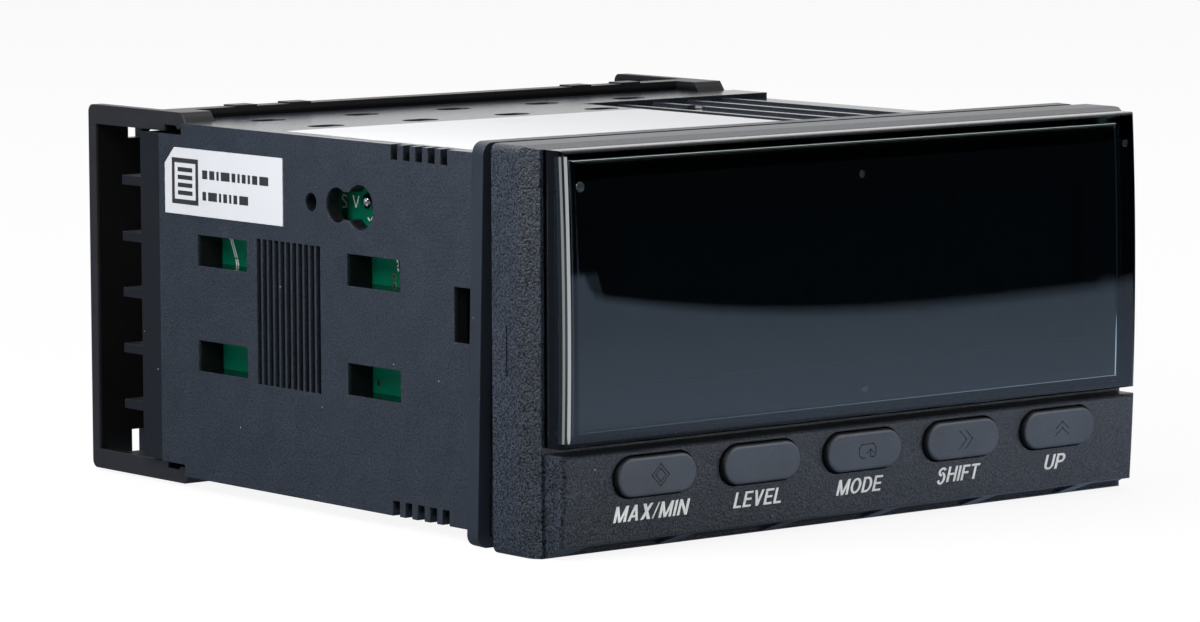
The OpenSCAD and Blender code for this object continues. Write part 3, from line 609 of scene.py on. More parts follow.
def plastic(
    name,
    colour,
    rough,
    grain_size,
    grain_depth,
    edge=0.18 * MM,
    dust=0.3,
    mottle=0.13,
    speckle=0.0,
    top=None,
    inner=None,
    sides=None,
    **values,
):
    """Moulded plastic: mottled colour, fine grain, soft edges, rubbed gloss and a little dust

    The grain's size is in millimetres and its depth in metres; dust is the share of the specks
    that show. top gives the roughness and the share of the grain that faces turned upwards have.
    inner gives the half width, the half height and the rear end of a housing whose faces inside
    the walls are darkened as painted shade. sides gives the share of the colour that faces not
    turned to the front keep, as painted shade on their sides.
    """
    dust_tone = (0.22, 0.22, 0.22)
    material, tree, shader = surface(name, **values)

    grain = use_group(tree, "Mould Grain", Grain_Size=grain_size, Mottle_Size=5.0)
    shade = remap(tree, grain.outputs["Mottle"], 0.0, 1.0, 1.0 - mottle, 1.0 + mottle)
    if speckle:
        fleck = remap(tree, grain.outputs["Height"], 0.0, 1.0, 1.0 - speckle, 1.0 + speckle)
        shade = maths(tree, "MULTIPLY", shade, fleck)
    # painted shade on the faces inside a housing's walls
    if inner:
        shade = maths(tree, "MULTIPLY", shade, painted_inner_shade(tree, *inner))
    # painted shade on the faces turned away from the front
    if sides:
        front_on, turned = -0.85, -0.6
        facing = separate(tree, "ShaderNodeNewGeometry", "Normal").outputs["Y"]
        share = remap(tree, facing, front_on, turned, 1.0, sides)
        shade = maths(tree, "MULTIPLY", shade, share)
    tone = add(tree, "ShaderNodeVectorMath", operation="SCALE")
    tone.inputs[0].default_value = tuple(colour)
    tree.links.new(shade, tone.inputs["Scale"])
    specks = use_group(tree, "Dust Specks", Spacing=3.5, Speck_Size=0.11, Share=dust)
    dusty = blend_colours(tree, specks.outputs["Mask"], tone.outputs[0], dust_tone)
    tree.links.new(dusty, shader.inputs["Base Color"])

    soft = add(tree, "ShaderNodeBevel", samples=4, Radius=edge)
    bump = add(tree, "ShaderNodeBump", Strength=1.0, Distance=grain_depth)
    tree.links.new(grain.outputs["Height"], bump.inputs["Height"])
    tree.links.new(soft.outputs["Normal"], bump.inputs["Normal"])
    tree.links.new(bump.outputs["Normal"], shader.inputs["Normal"])

    wear = use_group(
        tree, "Rubbed Patches", Patch_Size=9.0, Clean=rough + 0.04, Rubbed=rough - 0.05
    )
    roughness = wear.outputs["Value"]
    if top:
        top_rough, grain_share = top
        tilted, level = 0.9, 0.98
        facing = separate(tree, "ShaderNodeNewGeometry", "True Normal").outputs["Z"]
        roughness = remap(tree, facing, tilted, level, roughness, top_rough)
        depth = remap(tree, facing, tilted, level, grain_depth, grain_depth * grain_share)
        tree.links.new(depth, bump.inputs["Distance"])
    tree.links.new(roughness, shader.inputs["Roughness"])
    return material


def finish_node(node, material):
    """Gives a CAD node its material"""
    piece = frame["nodes"][node]
    piece.data.materials.clear()
    piece.data.materials.append(material)


def settings(name):
    """The scene's settings of one group"""
    return getattr(bpy.context.scene, name)


# ---------- Operators ----------


class PANELMETER_OT_mouldings(bpy.types.Operator):
    """Finish the bezel, the case, the terminal blocks and the terminal cover"""

    bl_idname = "panelmeter.mouldings"
    bl_label = "Finish Mouldings"

    def execute(self, context):
        colours = settings("meter_colours")
        finish_node(
            "front_bezel",
            plastic(
                "textured_bezel",
                colours.bezel,
                rough=0.42,
                grain_size=0.27,
                grain_depth=colours.grain * 0.75,
                dust=0.25,
                speckle=1.0,
                top=(0.38, 0.35),
            ),
        )
        # past the case's rear end, so that its rear wall, under the cover, counts as inside and
        # gets the painted shade
        shaded_end = CASE_HIGH.y + 8 * MM
        finish_node(
            "rear_case",
            plastic(
                "textured_case",
                colours.case,
                rough=0.46,
                grain_size=0.23,
                grain_depth=colours.grain * 0.55,
                speckle=0.55,
                top=(0.2, 0.06),
                # painted shade inside the case's walls and slots
                inner=(CASE_HIGH.x, CASE_HIGH.z, shaded_end),
            ),
        )
        finish_node(
            "terminal_cover",
            plastic(
                "satin_cover",
                colours.cover,
                rough=0.45,
                grain_size=0.5,
                grain_depth=colours.grain * 0.12,
                dust=0.15,
                # painted shade inside the cover
                inner=(COVER_HIGH.x, COVER_HIGH.z, COVER_HIGH.y),
            ),
        )
        block = plastic(
            "terminal_moulding",
            # near black: the blocks' dark plastic, darkened further as painted shade under the
            # cover
            (0.004, 0.0048, 0.0065),
            rough=0.45,
            grain_size=0.5,
            grain_depth=colours.grain * 0.12,
        )
        finish_node("left_terminal_block", block)
        finish_node("right_terminal_block", block)
        return {"FINISHED"}


class PANELMETER_OT_keys(bpy.types.Operator):
    """Finish the five keys and the switches behind them"""

    bl_idname = "panelmeter.keys"
    bl_label = "Finish Keys"

    def execute(self, context):
        colours = settings("meter_colours")
        cap = plastic(
            "key_cap",
            colours.keys,
            rough=0.5,
            grain_size=0.22,
            grain_depth=colours.grain * 0.2,
            edge=0.25 * MM,
            speckle=0.12,
            # painted shade: the caps' sides keep only part of the colour
            sides=0.12,
        )
        for key in KEYS:
            finish_node(key + "_key", cap)
        switch = plastic(
            "switch_body", (0.012, 0.012, 0.012), rough=0.45, grain_size=0.4, grain_depth=0.004 * MM
        )
        finish_node("key_switches", switch)
        return {"FINISHED"}


class PANELMETER_OT_gasket(bpy.types.Operator):
    """Finish the rubber gasket"""

    bl_idname = "panelmeter.gasket"
    bl_label = "Finish Gasket"

    def execute(self, context):
        rubber = plastic(
            "gasket_rubber",
            settings("meter_colours").rubber,
            rough=0.42,
            grain_size=1.2,
            grain_depth=0.006 * MM,
            edge=0.25 * MM,
            dust=0.4,
        )
        finish_node("panel_gasket", rubber)
        return {"FINISHED"}


def curved_face(shape, front, z):
    """How far the front's curve stands before the panel at a height"""
    radius = shape.curve_radius
    return front - radius + math.sqrt(radius**2 - (z - shape.crown_height) ** 2)


def window_height_field(shape, columns, rows, low, high, front, side_r):
    """Distances before the panel of a curved face with rounded edges, over a grid of X and Z"""
    edge_r = shape.top_radius

    def section(z):
        face = curved_face(shape, front, z)
        for end, sign in ((high.z, 1), (low.z, -1)):
            corner = curved_face(shape, front, end - sign * edge_r)
            into = (z - end) * sign + edge_r
            if into > 0:
                face = min(face, corner - edge_r + math.sqrt(max(0.0, edge_r**2 - into**2)))
        return face

    field = []
    for z in rows:
        line = []
        for x in columns:
            into = max(low.x + side_r - x, x - high.x + side_r, 0.0)
            drop = side_r - math.sqrt(max(0.0, side_r**2 - into**2))
            line.append(min(section(z), curved_face(shape, front, z) - drop))
        field.append(line)
    return field


def eased_steps(low, high, radius, curve_steps=10, flat_steps=24):
    """Positions from low to high, close together in the rounded stretch at each end"""
    quarter = math.pi / 2
    rise = [radius * (1 - math.cos(quarter * i / curve_steps)) for i in range(curve_steps)]
    start = [low + step for step in rise]
    inner = high - low - 2 * radius
    middle = [low + radius + inner * i / flat_steps for i in range(flat_steps + 1)]
    return start + middle + [high - step for step in rise[::-1]]


def rim_walk(columns, rows):
    """Columns and rows of a grid's edge points, in order"""
    last_column, last_row = len(columns) - 1, len(rows) - 1
    walk = [(c, 0) for c in range(last_column)]
    walk += [(last_column, r) for r in range(last_row)]
    walk += [(c, last_row) for c in range(last_column, 0, -1)]
    walk += [(0, r) for r in range(last_row, 0, -1)]
    return walk


def window_tray(shape):
    """Vertices and faces of the window: a curved front with walls and a narrower skirt behind"""
    low, high = WINDOW_LOW, WINDOW_HIGH
    front = -low.y
    back = -7.2 * MM                # rear of the walls, where the skirt starts
    side_wall, top_wall, front_wall, skirt_wall = 2.3 * MM, 1.3 * MM, 1.6 * MM, 1.0 * MM
    inner_r = 1.0 * MM
    lip = 0.5 * MM                  # thickness of the step from the walls to the skirt
    middle_z = (low.z + high.z) / 2
    half_z = (high.z - low.z) / 2
    skirt_x, skirt_z = high.x - 1.3 * MM, half_z - 0.9 * MM
    vertices, faces = [], []

    columns = eased_steps(low.x, high.x, shape.side_radius)
    rows = eased_steps(low.z, high.z, shape.top_radius)
    in_low = Vector((low.x + side_wall, 0, low.z + top_wall))
    in_high = Vector((high.x - side_wall, 0, high.z - top_wall))
    in_columns = eased_steps(in_low.x, in_high.x, inner_r)
    in_rows = eased_steps(in_low.z, in_high.z, shape.top_radius)

    def grid(field, xs, zs):
        """Adds a face over a grid and gives its edge points"""
        base, width = len(vertices), len(xs)
        for r, z in enumerate(zs):
            for c, x in enumerate(xs):
                vertices.append((x, -field[r][c], z))
        for r in range(len(zs) - 1):
            for c in range(width - 1):
                a = base + r * width + c
                faces.append([a, a + 1, a + width + 1, a + width])
        return [base + r * width + c for c, r in rim_walk(xs, zs)]

    def loop(half_width, half_height, y):
        """Adds the outer edge's points fitted to a rectangle at a depth"""
        base = len(vertices)
        for c, r in rim_walk(columns, rows):
            x = columns[c] / high.x * half_width
            z = (rows[r] - middle_z) / half_z * half_height + middle_z
            vertices.append((x, y, z))
        return list(range(base, len(vertices)))

    outer = window_height_field(shape, columns, rows, low, high, front, shape.side_radius)
    inner = window_height_field(
        shape, in_columns, in_rows, in_low, in_high, front - front_wall, inner_r
    )
    outer_rim = grid(outer, columns, rows)
    inner_rim = grid(inner, in_columns, in_rows)
    chain = [
        outer_rim,
        loop(high.x, half_z, back),
        loop(skirt_x, skirt_z, back),
        loop(skirt_x, skirt_z, high.y),
        loop(skirt_x - skirt_wall, skirt_z - skirt_wall, high.y),
        loop(skirt_x - skirt_wall, skirt_z - skirt_wall, back - lip),
        loop(in_high.x, half_z - top_wall, back - lip),
        inner_rim,
    ]
    for first, second in zip(chain, chain[1:]):
        for i in range(len(first)):
            j = (i + 1) % len(first)
            faces.append([first[i], first[j], second[j], second[i]])
    return vertices, faces


def window_corner(shape):
    """Vertices and faces of a thin rounded strip that lies on the window's left corner"""
    levels, turns = 48, 16
    proud, sunk = 0.015 * MM, 0.05 * MM
    corner_r = shape.side_radius
    foot, head = WINDOW_LOW.z + shape.top_radius, WINDOW_HIGH.z - shape.top_radius
    ring = [(corner_r + proud, j) for j in range(turns + 1)]
    ring += [(corner_r - sunk, j) for j in range(turns, -1, -1)]
    count = len(ring)
    vertices, faces = [], []
    for i in range(levels + 1):
        z = foot + (head - foot) * i / levels
        face_y = -curved_face(shape, -WINDOW_LOW.y, z)
        for radius, j in ring:
            turn = math.pi / 2 * j / turns
            x = WINDOW_LOW.x + corner_r - radius * math.sin(turn)
            vertices.append((x, face_y + corner_r - radius * math.cos(turn), z))
    for i in range(levels):
        for k in range(count):
            a, b = i * count + k, i * count + (k + 1) % count
            faces.append([a, b, b + count, a + count])
    for base in (0, levels * count):
        for j in range(turns):
            faces.append([base + j, base + j + 1, base + count - 2 - j, base + count - 1 - j])
    return vertices, faces


def glossy_plastic(name, colour, patch_size, clean, rubbed, **values):
    """Smooth plastic whose roughness runs from clean to rubbed over patches in millimetres"""
    material, tree, shader = surface(name, Base_Color=colour4(colour), **values)
    wear = use_group(tree, "Rubbed Patches", Patch_Size=patch_size, Clean=clean, Rubbed=rubbed)
    tree.links.new(wear.outputs["Value"], shader.inputs["Roughness"])
    return material


class PANELMETER_OT_window(bpy.types.Operator):
    """Build the smoked window in a fine mesh, and its polished left corner"""

    bl_idname = "panelmeter.window"
    bl_label = "Build Window"

    def execute(self, context):
        shape = settings("meter_window")
        crease = math.radians(35)
        smoked = glossy_plastic(
            "smoked_window",
            shape.tint,
            patch_size=14.0,
            clean=0.006,
            rubbed=0.014,
            Transmission_Weight=1.0,
            IOR=1.5,
        )
        vertices, faces = window_tray(shape)
        piece = link_mesh(
            "smoked_window", vertices, faces, smoked, smooth=crease
        )
        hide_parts("display_window")

        polished = glossy_plastic(
            "polished_corner",
            (0.004, 0.006, 0.0075),
            patch_size=14.0,
            clean=0.03,
            rubbed=0.06,
            IOR=1.5,
        )
        vertices, faces = window_corner(shape)
        link_mesh("window_corner", vertices, faces, polished, smooth=crease)
        return {"FINISHED"}


class PANELMETER_OT_display(bpy.types.Operator):
    """Finish the black mask, the display glass and the light guide"""

    bl_idname = "panelmeter.display"
    bl_label = "Finish Display"

    def execute(self, context):
        mask = plastic(
            "mask_black",
            (0.003, 0.0034, 0.0036),
            rough=0.5,
            grain_size=0.4,
            grain_depth=0.002 * MM,
            dust=0.0,
            Specular_IOR_Level=0.05,
        )
        glass = plastic(
            "display_glass",
            (0.0034, 0.0039, 0.0041),
            rough=0.3,
            grain_size=3.0,
            grain_depth=0.0005 * MM,
            dust=0.0,
            Specular_IOR_Level=0.08,
        )
        guide = plastic(
            "light_guide",
            (0.8, 0.82, 0.8),
            rough=0.25,
            grain_size=3.0,
            grain_depth=0.001 * MM,
            dust=0.0,
        )
        finish_node("display_mask", mask)
        finish_node("lcd_panel", glass)
        finish_node("light_guide", guide)
        return {"FINISHED"}


class PANELMETER_OT_boards(bpy.types.Operator):
    """Finish the circuit boards and all that they carry"""

    bl_idname = "panelmeter.boards"
    bl_label = "Finish Boards"

    def execute(self, context):
        board = plastic(
            "board_green",
            settings("meter_colours").board,
            rough=0.35,
            grain_size=0.6,
            grain_depth=0.004 * MM,
            Specular_IOR_Level=0.15,
        )
        for node in ("front_board", "signal_board", "power_board", "terminal_board"):
            finish_node(node, board)
        ends, sides = ("front", "rear"), ("left", "right")
        headers = tuple(f"{end}_{side}_header" for end in ends for side in sides)
        # colour, roughness and nodes of each finish
        finishes = {
            "component_black": (
                (0.014, 0.014, 0.015),
                0.4,
                ("processor_chip", "converter_chip") + headers,
            ),
            "core_varnish": ((0.03, 0.03, 0.035), 0.35, ("transformer_core",)),
            "winding_tape": ((0.6, 0.42, 0.07), 0.35, ("transformer_coil",)),
            "capacitor_sleeve": (
                (0.01, 0.013, 0.04),
                0.25,
                ("large_capacitor", "small_capacitors"),
            ),
            "relay_plastic": ((0.6, 0.6, 0.56), 0.35, ("alarm_relay_1", "alarm_relay_2")),
            "fuse_ceramic": ((0.6, 0.56, 0.46), 0.4, ("line_fuse",)),
        }
        for name, (tone, rough, nodes) in finishes.items():
            material = plastic(
                name, tone, rough, grain_size=0.8, grain_depth=0.003 * MM, dust=0.1
            )
            for node in nodes:
                finish_node(node, material)
        return {"FINISHED"}


class PANELMETER_OT_metals(bpy.types.Operator):
    """Finish the contact plates, washers and terminal screws"""

    bl_idname = "panelmeter.metals"
    bl_label = "Finish Metals"

    def execute(self, context):
        plates = plastic(
            "contact_plating",
            (0.62, 0.52, 0.3),
            rough=0.3,
            grain_size=0.8,
            grain_depth=0.004 * MM,
            Metallic=1.0,
        )
        steel = plastic(
            "screw_plating",
            (0.6, 0.59, 0.56),
            rough=0.28,
            grain_size=0.6,
            grain_depth=0.006 * MM,
            Metallic=1.0,
        )
        finish_node("contact_plates", plates)
        finish_node("clamp_washers", steel)
        finish_node("terminal_screws", steel)
        return {"FINISHED"}


def panel_place(shape, front, height):
    """Maps (across, up, out) to the front's curve round a height"""
    face = curved_face(shape, front, height)
    lean = math.asin((height - shape.crown_height) / shape.curve_radius)

    def place(u, v, w):
        y = -face - w * math.cos(lean) + v * math.sin(lean)
        z = height + v * math.cos(lean) + w * math.sin(lean)
        return Vector((u, y, z))

    return place


def box_stroke(u0, v0, u1, v1):
    """An upright or level stroke"""
    return [box_outline(u0, v0, u1, v1)]


def slant_stroke(u0, v0, u1, v1, width=STEM):
    """A leaning stroke with level ends; u0 and u1 are the left ends of its foot and its head"""
    return [[(u0, v0), (u0 + width, v0), (u1 + width, v1), (u1, v1)]]


def arc_stroke(u, v, radius_u, radius_v, start, end, steps=14):
    """A curved stroke, as quads, between two angles in degrees"""
    quads = []
    for i in range(steps):
        pair = [math.radians(start + (end - start) * k / steps) for k in (i, i + 1)]
        outer = [(u + radius_u * math.cos(a), v + radius_v * math.sin(a)) for a in pair]
        inner = [
            (u + (radius_u - STEM) * math.cos(a), v + (radius_v - BAR) * math.sin(a)) for a in pair
        ]
        quads.append([outer[0], outer[1], inner[1], inner[0]])
    return quads


def letter(sign):
    """Width and strokes of one capital"""
    upright = box_stroke(0, 0, STEM, 1)
    foot, waist, head = (0, BAR), (0.43, 0.43 + BAR), (1 - BAR, 1)

    def level(span, end):
        return box_stroke(0, span[0], end, span[1])

    if sign == "I":
        return STEM, upright
    if sign == "L":
        return 0.56, upright + level(foot, 0.56)
    if sign == "E":
        return 0.6, upright + level(foot, 0.6) + level(waist, 0.56) + level(head, 0.6)
    if sign == "F":
        return 0.57, upright + level(waist, 0.52) + level(head, 0.57)
    if sign == "T":
        return 0.64, level(head, 0.64) + box_stroke(0.32 - STEM / 2, 0, 0.32 + STEM / 2, 1)
    if sign == "H":
        return 0.7, upright + level(waist, 0.7) + box_stroke(0.7 - STEM, 0, 0.7, 1)
    if sign == "N":
        return 0.7, upright + box_stroke(0.7 - STEM, 0, 0.7, 1) + slant_stroke(0.7 - STEM, 0, 0, 1)
    if sign == "M":
        sides = upright + box_stroke(0.86 - STEM, 0, 0.86, 1)
        inner = slant_stroke(0.35, 0, 0.02, 1, 0.17) + slant_stroke(0.35, 0, 0.67, 1, 0.17)
        return 0.86, sides + inner
    if sign == "A":
        sides = slant_stroke(0, 0, 0.27, 1) + slant_stroke(0.54, 0, 0.27, 1)
        return 0.74, sides + box_stroke(0.16, 0.22, 0.6, 0.22 + BAR)
    if sign == "V":
        return 0.7, slant_stroke(0.25, 0, 0, 1) + slant_stroke(0.25, 0, 0.5, 1)
    if sign == "X":
        return 0.7, slant_stroke(0, 0, 0.48, 1, 0.22) + slant_stroke(0.48, 0, 0, 1, 0.22)
    if sign == "/":
        return 0.34, slant_stroke(0, 0, 0.24, 1, 0.1)
    if sign == "O":
        return 0.76, arc_stroke(0.38, 0.5, 0.38, 0.5, 0, 360, 28)
    if sign == "D":
        bowl = arc_stroke(0.3, 0.5, 0.4, 0.5, -90, 90)
        return 0.7, upright + level(foot, 0.3) + level(head, 0.3) + bowl
    if sign == "U":
        sides = box_stroke(0, 0.35, STEM, 1) + box_stroke(0.68 - STEM, 0.35, 0.68, 1)
        return 0.68, sides + arc_stroke(0.34, 0.35, 0.34, 0.35, 180, 360)
    if sign == "P":
        bowl = arc_stroke(0.36, 0.7, 0.29, 0.3, -90, 90)
        return 0.65, upright + level((0.4, 0.4 + BAR), 0.36) + level(head, 0.36) + bowl
    if sign == "S":
        top = arc_stroke(0.33, 0.71, 0.31, 0.29, 25, 270)
        return 0.66, top + arc_stroke(0.33, 0.29, 0.31, 0.29 + BAR - 0.03, -160, 90)
    raise ValueError(sign)


def word_outlines(word, slant):
    """Strokes of a word in capitals 1 high, with its ends"""
    strokes, start = [], 0.0
    for sign in word:
        width, outlines = letter(sign)
        for outline in outlines:
            strokes.append([(start + u + v * math.tan(slant), v) for u, v in outline])
        start += width + LETTER_GAP
    across = [u for outline in strokes for u, v in outline]
    return strokes, min(across), max(across)


class PANELMETER_OT_legends(bpy.types.Operator):
    """Print the words under the keys"""

    bl_idname = "panelmeter.legends"
    bl_label = "Print Legends"

    def execute(self, context):
        legends = settings("meter_legends")
        setback = 0.1 * MM          # from the window's curve to the key panel's
        sunk, proud = 0.02 * MM, 0.03 * MM
        step = 0.0004 * MM
        place = panel_place(settings("meter_window"), -WINDOW_LOW.y - setback, legends.middle)
        material = plastic(
            "legend_ink",
            legends.ink,
            rough=0.5,
            grain_size=0.4,
            grain_depth=0.003 * MM,
            dust=0.0,
        )
        for key, (word, width, shift) in WORDS.items():
            low, high = KEY_BOXES[key]
            centre = (low.x + high.x) / 2 + shift
            strokes, start, end = word_outlines(word, legends.slant)
            scale = width / (end - start)
            middle = (start + end) / 2
            parts = []
            for count, outline in enumerate(strokes):
                flat = [
                    ((u - middle) * scale + centre, (v - 0.5) * legends.cap_height)
                    for u, v in outline
                ]
                # each stroke ends a little lower than the one before, so no two share a plane
                parts.append(slab(flat, -sunk, proud - step * count, place))
            vertices, faces = join_parts(parts)
            link_mesh("legend_" + key, vertices, faces, material)
        return {"FINISHED"}


class PANELMETER_OT_icons(bpy.types.Operator):
    """Draw the icons moulded into the keys"""

    bl_idname = "panelmeter.icons"
    bl_label = "Draw Key Icons"

    def execute(self, context):
        # the icon lines are dark slabs nearly flush with the key: painted shade in place of the
        # moulded relief
        material = plastic(
            "icon_painted_shade",
            (0.016, 0.018, 0.024),
            rough=0.45,
            grain_size=0.3,
            grain_depth=0.003 * MM,
            dust=0.0,
        )
        line = 0.12 * MM
        sunk, proud = 0.02 * MM, 0.012 * MM
        shift = 0.4 * MM            # icons sit a little right of the keys' middles
        for key, lines in ICONS.items():
            low, high = KEY_BOXES[key]
            middle = (low + high) / 2

            def place(u, v, w):
                return Vector((middle.x + shift + u, low.y - w, middle.z + v))

            parts = []
            for points, closed in lines:
                scaled = [(u * MM, v * MM) for u, v in points]
                for outline in stroke_outlines(scaled, line, closed):
                    parts.append(slab(outline, -sunk, proud, place))
            vertices, faces = join_parts(parts)
            link_mesh(
                "icon_" + key,
                vertices,
                faces,
                material,
                body=key + "_button",
            )
        return {"FINISHED"}


def label_marks(place):
    """A plain sheet with four lines, and two rows of bars in place of words

    The marks are in millimetres from the label's rear end and its middle line.
    """
    sunk, proud = 0.02 * MM, 0.015 * MM
    parts = []

    def mark(u0, v0, u1, v1):
        outline = box_outline(u0 * MM, v0 * MM, u1 * MM, v1 * MM)
        parts.append(slab(outline, -sunk, proud, place))

    left, right, top, frame_w = 1.6, 7.4, 2.9, 0.6
    mark(left, -top, right, frame_w - top)
    mark(left, top - frame_w, right, top)
    mark(left, frame_w - top, left + frame_w, top - frame_w)
    mark(right - frame_w, frame_w - top, right, top - frame_w)
    line_left, line_right = 2.9, 6.1
    first_line, line_pitch, line_h = -1.75, 0.98, 0.55
    for i in range(4):
        foot = first_line + i * line_pitch
        mark(line_left, foot, line_right, foot + line_h)

    row_start, half_h, gap, least = 8.3, 0.55, 0.45, 0.6
    draw = random.Random(5)
    for row, end in ((1.1, 23.2), (-1.6, 18.8)):
        start = row_start
        while start < end - least:
            length = draw.choice((0.5, 0.8, 1.1, 1.9))
            mark(start, row - half_h, min(start + length, end), row + half_h)
            start += length + gap
    return join_parts(parts)


class PANELMETER_OT_labels(bpy.types.Operator):
    """Finish both labels and print plain marks on the side label"""

    bl_idname = "panelmeter.labels"
    bl_label = "Finish Labels"

    def execute(self, context):
        sheet = {"grain_size": 0.6, "grain_depth": 0.002 * MM, "dust": 0.0, "mottle": 0.01}
        plain = plastic(
            "plain_label", (0.6, 0.6, 0.61), rough=0.6, Specular_IOR_Level=0.1, **sheet
        )
        paper = plastic("label_paper", (0.48, 0.49, 0.52), rough=0.4, **sheet)
        finish_node("top_label", plain)
        finish_node("side_label", paper)

        ink = plastic(
            "label_ink",
            (0.02, 0.02, 0.022),
            rough=0.5,
            grain_size=0.4,
            grain_depth=0.002 * MM,
            dust=0.0,
        )
        low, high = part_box("side_label")
        middle = (low.z + high.z) / 2

        def place(u, v, w):
            return Vector((low.x - w, high.y - u, middle + v))

        vertices, faces = label_marks(place)
        link_mesh("side_label_print", vertices, faces, ink)
        return {"FINISHED"}


class PANELMETER_OT_board_marks(bpy.types.Operator):
    """Add printed lines, plated holes and solder to the board behind the side windows"""

    bl_idname = "panelmeter.board_marks"
    bl_label = "Add Board Marks"

    def execute(self, context):
        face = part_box("signal_board")[0].x
        fine = 0.002 * MM

        def place(u, v, w):
            return Vector((face - w, u, v))

        def finish(name, tone, rough, grain_size, grain_depth=fine, **values):
            """A finish without dust"""
            return plastic(name, tone, rough, grain_size, grain_depth, dust=0.0, **values)

        def lay(name, parts, material, smooth=None):
            """One piece from several parts"""
            vertices, faces = join_parts(parts)
            link_mesh(name, vertices, faces, material, smooth=smooth)

        def discs(radius, low, high, steps):
            """A disc at each plated hole"""
            return [
                slab(disc_outline(u * MM, v * MM, radius, steps), low, high, place)
                for u, v in PLATED_HOLES
            ]

        sunk, proud = 0.01 * MM, 0.03 * MM
        line = 0.22 * MM
        outlines = []
        for points in BOARD_LINES:
            outlines += stroke_outlines([(u * MM, v * MM) for u, v in points], line)
        print_parts = [slab(outline, -sunk, proud, place) for outline in outlines]
        white = finish("board_print", (0.6, 0.66, 0.62), rough=0.5, grain_size=0.5)
        lay("board_print", print_parts, white)

        ring_r, hole_r = 0.38 * MM, 0.16 * MM
        hole_low, hole_high = 0.02 * MM, 0.045 * MM
        copper = finish("plated_hole", (0.75, 0.5, 0.2), rough=0.3, grain_size=0.5, Metallic=1.0)
        lay("plated_rings", discs(ring_r, -sunk, proud, steps=20), copper)
        # a dark disc in each ring: painted shade in place of the drilled hole
        hole = finish("hole_painted_shade", (0.004, 0.006, 0.005), rough=0.5, grain_size=0.4)
        lay("hole_shade_discs", discs(hole_r, hole_low, hole_high, steps=12), hole)

        joints = []
        for y, z, radius, rise in SOLDER_JOINTS:

            def spot(u, v, w):
                return place(y * MM + u, z * MM + v, w)

            joints.append(dome(spot, radius * MM, rise * MM, stretch=1.15))
        solder = finish(
            "solder",
            (0.75, 0.75, 0.74),
            rough=0.2,
            grain_size=0.8,
            grain_depth=0.01 * MM,
            Metallic=1.0,
        )
        lay("solder_joints", joints, solder, math.radians(60))
        return {"FINISHED"}


class PANELMETER_OT_pips(bpy.types.Operator):
    """Add the small clear pips on the window"""

    bl_idname = "panelmeter.pips"
    bl_label = "Add Window Pips"

    def execute(self, context):
        shape = settings("meter_window")
        crease = math.radians(60)
        material = glossy_plastic(
            "clear_pip",
            shape.tint,
            patch_size=1.0,
            clean=0.03,
            rubbed=0.08,
            Transmission_Weight=0.95,
            IOR=1.45,
        )
        for number, (x, z, radius, rise) in enumerate(WINDOW_PIPS, start=1):
            face = panel_place(shape, -WINDOW_LOW.y, z * MM)

            def spot(u, v, w):
                return face(x * MM + u, v, w)

            vertices, faces = dome(spot, radius * MM, rise * MM, steps=24)
            name = f"window_pip_{number}"
            link_mesh(name, vertices, faces, material, smooth=crease)
        return {"FINISHED"}


# ---------- Stage ----------


def mix_shaders(tree, factor, first, second):
    """Output of a mix of two shaders"""
    mix = add(tree, "ShaderNodeMixShader")
    tree.links.new(factor, mix.inputs[0])
    tree.links.new(first, mix.inputs[1])
    tree.links.new(second, mix.inputs[2])
    return mix.outputs[0]


def mirrored_floor(tree, azimuth):
    """Shader of the floor as polished faces mirror it: a lit sheet that ends in a dark room

    The sheet is measured from the meter along the mirrored line of sight, and across it.
    """
    place = separate(tree, "ShaderNodeNewGeometry", "Position")

    def turned(first, second, operation):
        """X and Y, each times a factor, put together"""
        return maths(
            tree,
            operation,
            maths(tree, "MULTIPLY", place.outputs["X"], first),
            maths(tree, "MULTIPLY", place.outputs["Y"], second),
        )

    sine, cosine = math.sin(-azimuth), math.cos(azimuth)
    along = turned(sine, cosine, "SUBTRACT")
    across = turned(cosine, sine, "ADD")

    # the sheet's far edge bows, as a cubic of the distance across
    slope, bend, skew = -0.279, 35.2, -294.7
    fade_start, fade_end, most_bow = 0.226, 0.266, 0.2
    curving = maths(tree, "ADD", bend, maths(tree, "MULTIPLY", across, skew))
    square = maths(tree, "MULTIPLY", across, across)
    bow = maths(
        tree,
        "ADD",
        maths(tree, "MULTIPLY", across, slope),
        maths(tree, "MULTIPLY", square, curving),
    )
    reach = maths(tree, "SUBTRACT", along, maths(tree, "MINIMUM", bow, most_bow))
    beyond = remap(tree, reach, fade_start, fade_end, 0.0, 1.0)

    # the sheet is dim in the meter's own shade, brightest past it and then fades a little
    shaded, brightest, faded = 0.3, 1.5, 1.08
    sheen = add(tree, "ShaderNodeEmission", Color=(0.45, 0.56, 0.75, 1))
    rising = remap(tree, along, 0.0, 0.07, shaded, brightest)
    falling = remap(tree, along, 0.06, 0.22, brightest, faded)
    tree.links.new(maths(tree, "MINIMUM", rising, falling), sheen.inputs["Strength"])
    dark = add(tree, "ShaderNodeEmission", Color=(0.01, 0.017, 0.024, 1), Strength=1.0)
    return mix_shaders(tree, beyond, sheen.outputs[0], dark.outputs[0])


